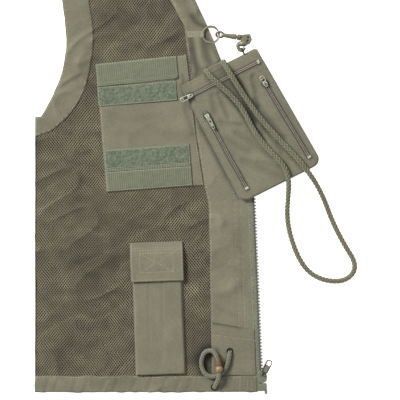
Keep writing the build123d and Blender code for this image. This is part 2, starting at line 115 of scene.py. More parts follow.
DARKEST = 0.2                 # the least tone of a cloth, and of what is seen through the net
DARKEST_NET = 0.12


# ---- small geometry helpers ----
NOISE_TABLES = {}


def soft_noise(x, y, cell, seed):
    """Smooth noise from -1 to 1 with bumps about one cell wide. Each seed has its own pattern."""
    if seed not in NOISE_TABLES:
        NOISE_TABLES[seed] = np.random.RandomState(seed).rand(64, 64) * 2 - 1
    table = NOISE_TABLES[seed]
    u, v = np.asarray(x) / cell, np.asarray(y) / cell
    i, j = np.floor(u).astype(int), np.floor(v).astype(int)
    u, v = u - i, v - j
    u, v = u * u * (3 - 2 * u), v * v * (3 - 2 * v)
    i, j, i2, j2 = i % 64, j % 64, (i + 1) % 64, (j + 1) % 64
    low = table[i, j] * (1 - u) + table[i2, j] * u
    high = table[i, j2] * (1 - u) + table[i2, j2] * u
    return low * (1 - v) + high * v


def smooth(value, low, high):
    """0 below low, 1 above high, and an even slope between."""
    t = np.clip((value - low) / (high - low), 0, 1)
    return t * t * (3 - 2 * t)


def rounded(distance, radius):
    """A quarter circle's rise from 0 at no distance to 1 at the radius."""
    return np.sqrt(np.clip(1 - (1 - np.clip(distance / radius, 0, 1)) ** 2, 0, 1))


def fade(distance, width):
    """1 at no distance, and 0 a few widths away."""
    return np.exp(-(distance / width) ** 2)


def turned(x, y, degrees):
    """Coordinates along axes that are turned by some degrees."""
    a = math.radians(degrees)
    return x * math.cos(a) + y * math.sin(a), -x * math.sin(a) + y * math.cos(a)


def near_path(x, y, path):
    """How far points are from a line of points, and how far along it."""
    x, y = np.asarray(x, float), np.asarray(y, float)
    best = np.full(len(x), 1e9)
    along = np.zeros(len(x))
    run = 0.0
    for (ax, ay), (bx, by) in zip(path, path[1:]):
        dx, dy = bx - ax, by - ay
        length = math.hypot(dx, dy)
        if length < 1e-6:
            continue
        t = np.clip(((x - ax) * dx + (y - ay) * dy) / length ** 2, 0, 1)
        d = np.hypot(x - ax - t * dx, y - ay - t * dy)
        closer = d < best
        best[closer] = d[closer]
        along[closer] = run + t[closer] * length
        run += length
    return best, along


def from_rim(x, y, loop):
    """How far points are from a closed outline."""
    return near_path(x, y, loop + loop[:1])[0]


def inside(x, y, loop):
    """Which points lie inside a closed outline."""
    found = np.zeros(len(x), bool)
    for (ax, ay), (bx, by) in zip(loop, loop[1:] + loop[:1]):
        crosses = (ay > y) != (by > y)
        at = ax + (y - ay) / ((by - ay) or 1e-12) * (bx - ax)
        found ^= crosses & (x < at)
    return found


def merged(node):
    """A CAD node's surface with its doubled points joined."""
    bm = bmesh.new()
    bm.from_mesh(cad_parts[node].data)
    bmesh.ops.remove_doubles(bm, verts=bm.verts, dist=1e-6)
    return bm


def outlines(node):
    """The closed outlines of a CAD node's flat top, as lists of (x, y), each from its rightmost point."""
    bm = merged(node)
    level = max(v.co.z for v in bm.verts)
    flat = {f for f in bm.faces if f.normal.z > 0.9 and level - f.calc_center_median().z < 1e-4}
    follow = {}
    for face in flat:
        for loop in face.loops:
            if sum(g in flat for g in loop.edge.link_faces) == 1:
                follow[loop.vert] = loop.link_loop_next.vert
    loops = []
    while follow:
        start, here = follow.popitem()
        loop = [start]
        while here != start:
            loop.append(here)
            here = follow.pop(here)
        points = [((v.co.x - SIDE_X) / MM, (v.co.y - HEM_Y) / MM) for v in loop]
        first = points.index(max(points))
        loops.append(points[first:] + points[:first])
    bm.free()
    return sorted(loops)


def refine(loop, step, closed=True):
    """The same outline with points at most one step apart."""
    ends = loop[1:] + loop[:1] if closed else loop[1:]
    points = []
    for (ax, ay), (bx, by) in zip(loop, ends):
        count = max(1, math.ceil(math.hypot(bx - ax, by - ay) / step))
        points += [(ax + (bx - ax) * k / count, ay + (by - ay) * k / count) for k in range(count)]
    return points if closed else points + [loop[-1]]


def offset(points, distance, closed=True):
    """The outline moved to its left by a distance."""
    count = len(points)
    moved = []
    for n, (x, y) in enumerate(points):
        before = points[(n - 1) % count] if closed or n else points[0]
        after = points[(n + 1) % count] if closed or n < count - 1 else points[-1]
        dx, dy = after[0] - before[0], after[1] - before[1]
        length = math.hypot(dx, dy) or 1.0
        moved.append((x - dy / length * distance, y + dx / length * distance))
    return moved


def fill(loops, step):
    """Points and triangles that fill closed outlines, about one step apart."""
    points, edges = [], []
    for loop in loops:
        first = len(points)
        points += loop
        edges += [(first + n, first + (n + 1) % len(loop)) for n in range(len(loop))]
    low, high = np.min(points, axis=0), np.max(points, axis=0)
    grid = []
    for n, y in enumerate(np.arange(low[1] + step / 2, high[1], step * 0.87)):
        xs = np.arange(low[0] + step * (0.5 + 0.5 * (n % 2)), high[0], step)
        grid.append(np.column_stack([xs, np.full(len(xs), y)]))
    grid = np.concatenate(grid)
    keep = np.zeros(len(grid), bool)
    for loop in loops:
        keep |= inside(*grid.T, loop) & (from_rim(*grid.T, loop) > step * 0.45)
    points += [tuple(p) for p in grid[keep]]
    made = geometry.delaunay_2d_cdt([Vector(p) for p in points], edges, [], 1, 1e-5)
    return np.array([tuple(v) for v in made[0]]), [tuple(f) for f in made[2]]


def two_leaves(faces, count):
    """The faces of an upper leaf and of a lower one that looks down, and the edges round a leaf."""
    under = [tuple(reversed([n + count for n in f])) for f in faces]
    sides = {(a, b): True for f in faces for a, b in zip(f, f[1:] + f[:1])}
    return list(faces) + under, [(a, b) for a, b in sides if (b, a) not in sides]


def make_object(name, points, faces, body, material, slot, tone=1.0, is_smooth=True, replaces=()):
    """A mesh piece of millimetre points that rides on a body."""
    placed = np.asarray(points, float) * MM + np.array([SIDE_X, HEM_Y, 0])
    mesh = bpy.data.meshes.new(name)
    mesh.from_pydata(placed.tolist(), [], faces)
    return show(mesh, body, material, tone, is_smooth, replaces)


def show(mesh, body, material, tone=1.0, is_smooth=True, replaces=()):
    """Puts a mesh in the scene as one piece, with its materials and the tone of its cloth, which holds its
    painted light and shade.
    """
    mesh.polygons.foreach_set("use_smooth", [is_smooth] * len(mesh.polygons))
    tones = np.broadcast_to(np.asarray(tone, np.float32), len(mesh.vertices))
    mesh.attributes.new("tone", "FLOAT", "POINT").data.foreach_set("value", tones)
    mesh.materials.clear()
    for each in [material] if isinstance(material, str) else material:
        mesh.materials.append(MATERIALS[each])
    obj = bpy.data.objects.new(mesh.name, mesh)
    bpy.context.scene.collection.objects.link(obj)
    if body is not None:
        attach(obj, body)
    if replaces:
        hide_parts(*replaces)
    return obj


def thicken(obj, thickness, rim_material=None):
    """Gives a sheet its thickness, downwards."""
    solid = obj.modifiers.new("thickness", "SOLIDIFY")
    solid.thickness = thickness * MM
    solid.offset = -1
    if rim_material is not None:
        solid.material_offset = rim_material
        solid.material_offset_rim = rim_material
    return obj


# ---- materials ----
class Graph:
    """A material's nodes, added one at a time with their inputs by name."""

    def __init__(self, name):
        self.material = bpy.data.materials.new(name)
        self.material.use_nodes = True
        self.tree = self.material.node_tree
        self.tree.nodes.clear()
        place = self.add("ShaderNodeTexCoord").outputs["Object"]
        self.mm = self.add("ShaderNodeMapping", Vector=place, Scale=(1 / MM,) * 3).outputs[0]

    def add(self, kind, settings=(), **inputs):
        node = self.tree.nodes.new(kind)
        for key, value in dict(settings).items():
            setattr(node, key, value)
        for key, value in inputs.items():
            socket = node.inputs[int(key[1:]) if key.startswith("i") else key.replace("_", " ")]
            if isinstance(value, bpy.types.NodeSocket):
                self.tree.links.new(value, socket)
            else:
                socket.default_value = value
        return node

    def noise(self, size, detail=2.0, stretch=(1, 1, 1)):
        """Noise from 0 to 1 with bumps of about that size in millimetres."""
        place = self.add("ShaderNodeMapping", Vector=self.mm, Scale=stretch).outputs[0]
        return self.add("ShaderNodeTexNoise", Vector=place, Scale=1 / size, Detail=detail).outputs["Fac"]

    def wave(self, pitch, direction, wobble=0.6):
        """Bands with that pitch in millimetres."""
        settings = {"wave_type": "BANDS", "bands_direction": direction}
        return self.add("ShaderNodeTexWave", settings, Vector=self.mm, Scale=math.pi / (10 * pitch),
                        Distortion=wobble, Detail=1.0, Detail_Scale=0.4).outputs["Fac"]

    def maths(self, operation, a, b):
        return self.add("ShaderNodeMath", {"operation": operation}, i0=a, i1=b).outputs[0]

    def toned(self, factor):
        """A factor with the piece's tone: its painted light and shade, and its own uneven colour."""
        tone = self.add("ShaderNodeAttribute", {"attribute_name": "tone"}).outputs["Fac"]
        return self.maths("MULTIPLY", factor, tone)

    def spread(self, value, low, high):
        """0..1 stretched to low..high, from the middle part of a noise."""
        return self.add("ShaderNodeMapRange", {}, i0=value, i1=0.3, i2=0.7, i3=low, i4=high).outputs[0]

    def tint(self, colour, factor):
        """A colour made brighter or darker by a factor."""
        scaled = self.add("ShaderNodeVectorMath", {"operation": "SCALE"}, i0=colour[:3], Scale=factor)
        return scaled.outputs[0]

    def mix(self, factor, a, b):
        node = self.add("ShaderNodeMix", {"data_type": "RGBA"}, i0=factor, i6=a, i7=b)
        return node.outputs[2]

    def bump(self, height, depth, before=None):
        node = self.add("ShaderNodeBump", Height=height, Distance=depth * MM, Strength=1.0)
        if before is not None:
            self.tree.links.new(before, node.inputs["Normal"])
        return node.outputs[0]

    def finish(self, colour, roughness, normal=None, **fixed):
        """The surface. Uniform numbers are set on the shader's own sockets."""
        shader = self.add("ShaderNodeBsdfPrincipled", Base_Color=colour, Roughness=roughness, **fixed)
        if normal is not None:
            self.tree.links.new(normal, shader.inputs["Normal"])
        self.add("ShaderNodeOutputMaterial", Surface=shader.outputs[0])
        return self.material


LIGHT_LEVEL = 1.84            # how much brighter than its own colour the studio shows a surface


def srgb(red, green, blue):
    """The surface colour that the studio's light shows as this one, given as 0..255."""
    linear = [((c / 255 + 0.055) / 1.055) ** 2.4 if c > 10 else c / 255 / 12.92 for c in (red, green, blue)]
    return (*[c / LIGHT_LEVEL for c in linear], 1.0)


def cloth_material(name, colour, yarn=0.75, blotch=0.10, slub=0.16, weave=0.10):
    """Plain woven cloth: two crossing yarns, slubs, wash marks, and its tone, which holds the painted light
    and shade of its folds, seams and edges.
    """
    g = Graph(name)
    warp = g.wave(yarn, "X")
    weft = g.wave(yarn * 1.1, "Y")
    yarns = g.maths("MULTIPLY", warp, weft)
    across = g.noise(1.3, 3.0, (0.35, 2.0, 1))
    wash = g.noise(34.0, 3.0)
    factor = g.maths("MULTIPLY", g.spread(wash, 1 - blotch, 1 + blotch),
                     g.spread(across, 1 - slub, 1 + slub))
    factor = g.maths("MULTIPLY", factor, g.spread(yarns, 1 - weave, 1 + weave))
    factor = g.toned(factor)
    tilt = g.bump(yarns, 0.16)
    tilt = g.bump(g.noise(2.6, 4.0), 0.22, tilt)
    return g.finish(g.tint(colour, factor), 0.92, tilt, Sheen_Weight=0.25, Sheen_Roughness=0.5)


def ribbed_material(name, colour, mottle, grain):
    """Hook or loop tape, with tufts of that grain."""
    g = Graph(name)
    tufts = g.noise(grain, 4.0)
    patches = g.noise(grain * 7, 3.0)
    factor = g.maths("MULTIPLY", g.spread(tufts, 1 - mottle, 1 + mottle), g.spread(patches, 0.93, 1.07))
    factor = g.toned(factor)
    tilt = g.bump(tufts, 0.5)
    return g.finish(g.tint(colour, factor), 0.9, tilt, Sheen_Weight=0.4, Sheen_Roughness=0.4)


def thread_material(name, colour, fibre):
    """Twisted thread or cord."""
    g = Graph(name)
    hairs = g.noise(fibre, 3.0, (1, 1, 3))
    dirt = g.noise(14.0, 2.0)
    factor = g.maths("MULTIPLY", g.spread(hairs, 0.78, 1.2), g.spread(dirt, 0.92, 1.08))
    factor = g.toned(factor)
    return g.finish(g.tint(colour, factor), 0.85, g.bump(hairs, 0.15), Sheen_Weight=0.3)


def metal_material(name, colour, worn, wear, metallic, roughness):
    """Painted or plated metal, with worn spots that show a brighter metal."""
    g = Graph(name)
    spots = g.noise(1.6, 5.0)
    limits = {"i1": 0.66 - wear, "i2": 0.74 - wear, "i3": 0.0, "i4": 1.0}
    worn_off = g.add("ShaderNodeMapRange", i0=spots, **limits).outputs[0]
    shade = g.tint(colour, g.spread(g.noise(4.0, 3.0), 0.86, 1.12))
    rough = g.spread(g.noise(0.7, 4.0), roughness - 0.08, roughness + 0.1)
    scratches = g.noise(0.5, 3.0, (1, 6, 1))
    return g.finish(g.mix(worn_off, shade, worn), rough, g.bump(scratches, 0.03), Metallic=metallic)


def wood_material(name, light, dark):
    """Turned wood with a fine grain."""
    g = Graph(name)
    grain = g.noise(0.9, 4.0, (2.5, 0.5, 1))
    bands = g.add("ShaderNodeMapRange", {}, i0=grain, i1=0.35, i2=0.65, i3=0.0, i4=1.0).outputs[0]
    return g.finish(g.mix(bands, light, dark), 0.5, g.bump(grain, 0.08), Coat_Weight=0.15)


def plastic_material(name, colour, roughness):
    """Moulded plastic with a slight grain."""
    g = Graph(name)
    shade = g.tint(colour, g.spread(g.noise(3.0, 3.0), 0.88, 1.1))
    return g.finish(shade, roughness, g.bump(g.noise(0.4, 3.0), 0.03))


MATERIALS = {
    "facing": cloth_material("khaki_cloth", srgb(133, 130, 110)),
    "shell": cloth_material("khaki_shell", srgb(129, 127, 107)),
    # shaded_cloth is painted shade: the dark seen through the nets' holes, on the shell under the left
    # lining and on the back lining.
    "shaded": cloth_material("shaded_cloth", srgb(43, 37, 26), slub=0.1),
    # net_yarn is the net's lit yarn, and net_yarn_shaded a painted shaded copy of it for the strands that
    # face away from the light.
    "net": thread_material("net_yarn", srgb(148, 140, 115), 0.5),
    "net_shaded": thread_material("net_yarn_shaded", srgb(108, 101, 80), 0.5),
    "hook": ribbed_material("hook_tape_cloth", srgb(119, 124, 105), 0.16, 0.7),
    "loop": ribbed_material("loop_tape_cloth", srgb(108, 118, 101), 0.34, 0.9),
    "webbing": cloth_material("webbing_cloth", srgb(150, 148, 128), yarn=1.1, weave=0.2),
    "zip_tape": cloth_material("zip_tape_cloth", srgb(136, 139, 121), yarn=0.9, weave=0.16),
    "coil_tape": cloth_material("coil_tape_cloth", srgb(134, 129, 114), yarn=0.9, weave=0.16),
    "teeth": plastic_material("zip_teeth_plastic", srgb(98, 100, 88), 0.5),
    "coil": plastic_material("coil_plastic", srgb(184, 176, 164), 0.5),
    "thread": thread_material("pale_thread", srgb(204, 200, 176), 0.4),
    "cord": thread_material("braided_cord", srgb(119, 119, 94), 0.35),
    "drawcord": thread_material("braided_drawcord", srgb(126, 124, 105), 0.35),
    "painted": metal_material("painted_metal", srgb(126, 125, 104), srgb(170, 168, 150), 0.03, 0.15, 0.45),
    "green": metal_material("green_paint", srgb(122, 130, 110), srgb(160, 168, 146), 0.0, 0.15, 0.45),
    "wire": metal_material("ring_wire", srgb(146, 144, 124), srgb(200, 198, 184), 0.06, 0.2, 0.45),
    "bright": metal_material("bright_metal", srgb(226, 228, 216), srgb(150, 154, 136), 0.06, 0.5, 0.3),
    "pale": metal_material("pale_pull_metal", srgb(166, 174, 158), srgb(110, 118, 100), 0.1, 0.2, 0.45),
    "pull": metal_material("pull_metal", srgb(122, 123, 112), srgb(170, 170, 160), 0.02, 0.1, 0.5),
    # shaded_metal is painted shade: the dark wings round the pouch's sliders, and the dark plates, rims and
    # pins of the pulls.
    "sunken": metal_material("shaded_metal", srgb(58, 60, 50), srgb(130, 130, 118), 0.0, 0.3, 0.5),
    # The dark metal of the hook's gate and rivets, the eyelets and the pouch's ring; on the flat pull it is
    # the painted shade in its holes.
    "blackened": metal_material("dark_metal_and_hole_shade", srgb(38, 38, 34), srgb(80, 80, 74), 0.0, 0.6, 0.4),
    "barrel": wood_material("barrel_wood", srgb(140, 104, 80), srgb(98, 70, 52)),
    "bead": wood_material("bead_wood", srgb(180, 146, 106), srgb(142, 108, 74)),
}


# ---- the folds that every layer shares, and the painted shade of each layer ----
def edge_x(y):
    """The front edge's place at a height above the hem."""
    slope = (ZIP_HEAD[0] - ZIP_FOOT[0]) / (ZIP_HEAD[1] - ZIP_FOOT[1])
    return ZIP_FOOT[0] + slope * y


def box_mask(x, y, low, high, fade):
    """1 inside a box, 0 further than the fade outside it."""
    out_x = np.maximum(low[0] - x, x - high[0])
    out_y = np.maximum(low[1] - y, y - high[1])
    return 1 - smooth(np.maximum(out_x, out_y), 0, fade)


CALM_BOXES = [                # where something flat or rigid is sewn on: low, high, share left
    ((76, 246), (208, 424), 0.22),
    ((112, 14), (190, 196), 0.16),
    ((190, -5), (290, 112), 0.08),
    ((186, 430), (262, 462), 0.15),
]


def relief(x, y):
    """The height of the soft folds, which is never below zero."""
    x, y = np.asarray(x, float), np.asarray(y, float)
    a, b = turned(x, y, 28)
    c, d = turned(x, y, -38)
    billow = 0.55 + 0.6 * soft_noise(a, b * 1.7, 62, 3)
    creases = (1 - np.abs(soft_noise(a, b * 2.6, 70, 11))) ** 6 * 1.7
    creases += (1 - np.abs(soft_noise(c, d * 3.0, 84, 17))) ** 7 * 1.3
    ripples = 0.22 * soft_noise(a, b * 2.2, 17, 23)
    height = 1.5 * np.maximum(billow + creases + ripples, 0)
    share = smooth(edge_x(y) - x, 4, 26) + smooth(y, 335, 350)
    share = np.clip(share, 0, 1)
    for low, high, left in CALM_BOXES:
        share = share * (1 - (1 - left) * box_mask(x, y, low, high, 16))
    near_pouch = box_mask(x, y, (196, 225), (290, 420), 14)
    return height * share * (1 - 0.55 * near_pouch)


def tab_folds(x, y):
    """The upright puffs of the front facing round the webbing tab: their height and the painted shade in
    their valleys.
    """
    _, down = pouch_local(x, y)
    below = box_mask(x, y, (190, 388), (236, 440), 9) * smooth(-down, 1, 9)
    above = box_mask(x, y, (172, 462), (222, 560), 12)
    lean = x + (y - 430) * 0.28
    puffs = 0.5 + 0.5 * np.sin(lean / 2.7 + 1.5 * soft_noise(x, y, 26, 31))
    long_folds = 0.5 + 0.5 * np.sin((x + y * 0.42) / 4.6 + 1.6 * soft_noise(x, y, 40, 32))
    height = 3.0 * below * puffs + 2.0 * above * long_folds
    return height, 0.50 * below * (1 - puffs) ** 1.5 + 0.22 * above * (1 - long_folds) ** 2


def cord_shade(x, y, route, reach, depth):
    """The painted shadow on a surface right beside a cord that lies on it, or painted shade along any other
    line.
    """
    clear, _ = near_path(x, y, [point[:2] for point in route])
    return depth * fade(clear, reach)


# A painted shadow of the pouch's edge on the front facing; it stays when the pouch is lifted.
POUCH_EDGE_SHADE = [(-0.5, 34), (0.5, 100), (3.5, 156)]     # (u, v) along the side that lies on the vest
# VALLEYS get painted shade in front_shade.
VALLEYS = [                   # lines where the front facing dips between its puffs
    [(214, 449), (222, 431), (231, 414)], [(193, 428), (192, 408), (188, 386)], [(206, 474), (192, 510)],
    [(196, 470), (200, 462), (214, 456)], [(193, 414), (194, 400), (193.6, 389)],
]


def front_shade(x, y):
    """How much painted shade the front facing gets: in its puffs' valleys, along VALLEYS, beside the
    drawcord and along the pouch's edge. The shades of the other layers below say the same of theirs.
    """
    dark = tab_folds(x, y)[1] + cord_shade(x, y, DRAW_ROUTE, 5.0, 0.6)
    for path in VALLEYS:
        dark = dark + cord_shade(x, y, path, 3.4, 0.42)
    return dark + cord_shade(x, y, [pouch_point(*p) for p in POUCH_EDGE_SHADE], 3.6, 0.40)


# Painted shadow beside the drawcord, and the hem band painted a little darker all over, unevenly.
def hem_shade(x, y):
    return cord_shade(x, y, DRAW_ROUTE, 3.6, 0.6) + 0.07 + 0.07 * soft_noise(x, y, 16, 43)


PATCH_SLIT = [(221.5, 86.5), (243, 83.2), (256, 81.2)]       # the open end of the facing's lower fold


# Painted shade in the open end of the lower fold, a fainter line past it, and painted shadow beside the
# drawcord.
def patch_shade(x, y):
    dark = cord_shade(x, y, PATCH_SLIT, 1.05, 0.8) + cord_shade(x, y, [(256, 81), (266, 79.5)], 0.8, 0.25)
    return dark + cord_shade(x, y, DRAW_ROUTE, 3.6, 0.55)


# Painted shade in soft slanting creases and along one crease of the armhole facing, and a little all over.
def arm_shade(x, y):
    a, b = turned(x, y, -35)
    dark = 0.05 + 0.10 * (1 - np.abs(soft_noise(a, b * 0.5, 15, 44))) ** 3 + 0.05 * soft_noise(x, y, 26, 45)
    return dark + cord_shade(x, y, [(35, 384), (46, 390.5), (57, 397)], 1.5, 0.36)


# Painted shade in faint uneven streaks, beside the tapes' ends and along a crease by the panel's edge.
def panel_shade(x, y):
    a, b = turned(x, y, -8)
    dark = 0.035 * soft_noise(a * 0.3, b, 9, 46) + 0.05 * soft_noise(x, y, 40, 47) + 0.02
    dark = dark + cord_shade(x, y, [(184.2, 397), (185, 384)], 1.6, 0.45)
    return dark + cord_shade(x, y, [(186, 380), (188, 352), (197, 322)], 3.4, 0.3)


class Cloth:
    """A sheet of cloth cut to the outline of a CAD node.

    seams are (path, depth, width, pucker): how far the cloth sinks along a line, and how high it puckers.
    wave is how far its cut edge strays. extra(x, y) adds to its height and shade(x, y) takes from its tone.
    """

    def __init__(self, node, step, seams=(), extra=None, wave=0.0, edge_lift=0.25, shade=None):
        self.node, self.step, self.seams = node, step, seams
        self.extra, self.shade, self.edge_lift = extra, shade, edge_lift
        self.level = top_of(node)
        self.outline = [self.waved(refine(loop, step * 0.8), wave) for loop in outlines(node)]

    def waved(self, loop, wave):
        if not wave:
            return loop
        moved = offset(loop, 1.0)
        waves = [wave * float(soft_noise(x, y, 9.0, 41)) for x, y in loop]
        return [(x + (mx - x) * w, y + (my - y) * w) for (x, y), (mx, my), w in zip(loop, moved, waves)]

    def height(self, x, y):
        """The upper face's height."""
        z = self.level + relief(x, y) * self.level / Z_TOP
        if self.edge_lift:
            for loop in self.outline:
                clear = from_rim(x, y, loop)
                z = z + self.edge_lift * fade(clear - 1.0, 0.9) - 0.25 * fade(clear, 0.5)
        for path, depth, width, pucker in self.seams:
            clear, along = near_path(x, y, path)
            z = z - depth * fade(clear, width)
            z = z + pucker * np.sin(along / PUCKER_PITCH) * fade(clear, 2.4 * width)
        return z if self.extra is None else z + self.extra(x, y)

    def tone(self, x, y):
        """The painted light and shade of the cloth: a painted highlight on its rolled edge and painted shade
        right at its cut, painted shade along its seams, painted light and shade on their puckers, and the
        painted shade of shade(x, y).
        """
        tone = np.ones(len(x))
        for loop in self.outline:
            clear = from_rim(x, y, loop)
            tone = tone + 0.07 * fade(clear - 1.2, 1.0) - 0.12 * fade(clear, 0.5)
        for path, _, width, pucker in self.seams:
            clear, along = near_path(x, y, path)
            tone = tone - 0.10 * fade(clear, width)
            if pucker:
                tone = tone + 0.05 * np.sin(along / PUCKER_PITCH) * fade(clear, 2.0 * width)
        if self.shade is not None:
            tone = tone - self.shade(x, y)
        return np.maximum(tone, DARKEST)

    def build(self, material, slot, rests_on=(), rim=None):
        points, faces = fill(self.outline, self.step)
        x, y = points.T
        obj = make_object(self.node + "_cloth", np.column_stack([points, self.height(x, y)]), faces, "vest",
                          [material, rim] if rim else material, slot, self.tone(x, y), replaces=[self.node])
        thicken(obj, FABRIC, 1 if rim else None)


def stitches(name, rows, height, body="vest", pitch=STITCH_PITCH, length=STITCH_LENGTH, width=STITCH_WIDTH):
    """Rows of single stitches that lie on a cloth: small ridges with a crown."""
    spots = []
    for row in rows:
        run = 0.0
        due = pitch / 2
        for (ax, ay), (bx, by) in zip(row, row[1:]):
            part = math.hypot(bx - ax, by - ay)
            while part > 1e-6 and due <= run + part:
                t = (due - run) / part
                spots.append((ax + (bx - ax) * t, ay + (by - ay) * t, (bx - ax) / part, (by - ay) / part))
                due += pitch
            run += part
    at, along = np.hsplit(np.array(spots), 2)
    beside = np.column_stack([-along[:, 1], along[:, 0]]) * width / 2
    reach = along * length / 2 * (0.85 + 0.3 * np.random.RandomState(7).rand(len(at), 1))
    level = height(*at.T)
    corners = []
    for sign in (-1, 1):
        tip = at + sign * reach
        corners.append(np.column_stack([tip, height(*tip.T) - 0.02]))
        corners.append(np.column_stack([at + sign * beside, level + 0.06]))
    corners.append(np.column_stack([at, level + 0.3]))
    faces = []
    for n in range(len(at)):
        k = 5 * n
        faces += [(k + a, k + b, k + 4) for a, b in ((0, 3), (3, 2), (2, 1), (1, 0))]
    tones = np.repeat(0.9 + 0.2 * np.random.RandomState(8).rand(len(at)), 5)
    points = np.stack(corners, axis=1).reshape(-1, 3)
    return make_object(name, points, faces, body, "thread", "webbing", tones)


# ---- layers ----
def rings(loops, distance):
    """The outlines moved inwards, closed."""
    rows = []
    for loop in loops:
        row = offset(refine(loop, 3.0), distance)
        rows.append(row + row[:1])
    return rows


def edge_row(distance, low, high):
    """A row at a distance inside the front edge."""
    return [(edge_x(y) - distance, y) for y in np.linspace(low, high, 60)]


def facing(node, step, rows, seam, creases, stitched, on="left_mesh_lining", stitch_name=None, **looks):
    """A facing that is sunk along its topstitched rows. Returns it for more stitches."""
    cloth = Cloth(node, step, [(row, *seam) for row in rows] + creases, **looks)
    cloth.build("facing", "facing_fabric", rests_on=[on])
    stitches(stitch_name or node + "_stitches", stitched, cloth.height)
    return cloth


def make_facings():
    """Armhole facing, front facing, hem band, panel and lower patch, with their topstitching."""
    rows = rings(outlines("armhole_facing"), 2.0)
    creases = [([(31, 381), (44, 392), (56, 398)], -0.7, 2.2, 0.0),
               ([(24, 366), (40, 372), (60, 380)], 0.5, 3.0, 0.0)]
    facing("armhole_facing", 2.6, rows, (0.35, 1.0, 0.10), creases, rows, wave=0.3, shade=arm_shade)

    rows = rings(outlines("front_facing"), 2.0) + [edge_row(20.0, 24, 250), edge_row(12.5, 24, 322)]
    creases = [([(212, 118), (232, 104), (252, 96)], -0.5, 3.0, 0.0),
               ([(214, 150), (236, 158), (258, 150)], 0.4, 3.5, 0.0),
               ([(205, 330), (222, 300), (236, 268)], -0.6, 4.0, 0.0)]
    facing("front_facing", 2.0, rows, (0.35, 1.0, 0.08), creases, rows,
           extra=lambda x, y: tab_folds(x, y)[0], wave=0.25, shade=front_shade)

    row = [(x, 18.6 + 0.35 * math.sin(x / 9.0)) for x in np.arange(1.5, 277, 2.0)]
    gathers = [([(x, 1), (x + 0.6, 17)], -0.55, 1.1, 0.0) for x in (249, 254, 258.5, 263, 268, 272.5)]
    gathers += [([(x, 2), (x + 5, 16)], 0.7, 2.0, 0.0)
                for x in (12, 24, 47, 61, 83, 98, 121, 140, 158, 176, 190, 233)]
    hem = facing("hem_band", 2.2, [row], (0.45, 1.1, 0.16), gathers, [row], stitch_name="hem_stitches",
                 wave=0.9, shade=hem_shade)
    gather_rows = [[(x + 1.9, 1.5), (x + 2.4, 15.5)] for x in (254, 263, 268)]
    stitches("gather_stitches", gather_rows, hem.height, pitch=3.4)

    rows = rings(outlines("inner_panel"), 1.8)
    creases = [([(96, 345), (128, 339), (176, 348)], 0.35, 6.0, 0.0),
               ([(100, 322), (142, 330), (190, 320)], -0.3, 7.0, 0.0)]
    facing("inner_panel", 2.8, rows, (0.3, 1.0, 0.06), creases, rows, wave=0.3, shade=panel_shade)

    top = refine([(222.5, 71.5), (248, 68.2), (275, 64.5)], 3.0, closed=False)
    rows = [top] + rings(outlines("lower_facing_patch"), 1.6)[:1]
    mouth = ([(x, y - 1.6) for x, y in PATCH_SLIT], -0.6, 1.3, 0.0)
    facing("lower_facing_patch", 1.2, rows, (0.35, 1.0, 0.08), [mouth], [top], on="front_facing",
           stitch_name="lower_patch_stitches", wave=0.2, shade=patch_shade)


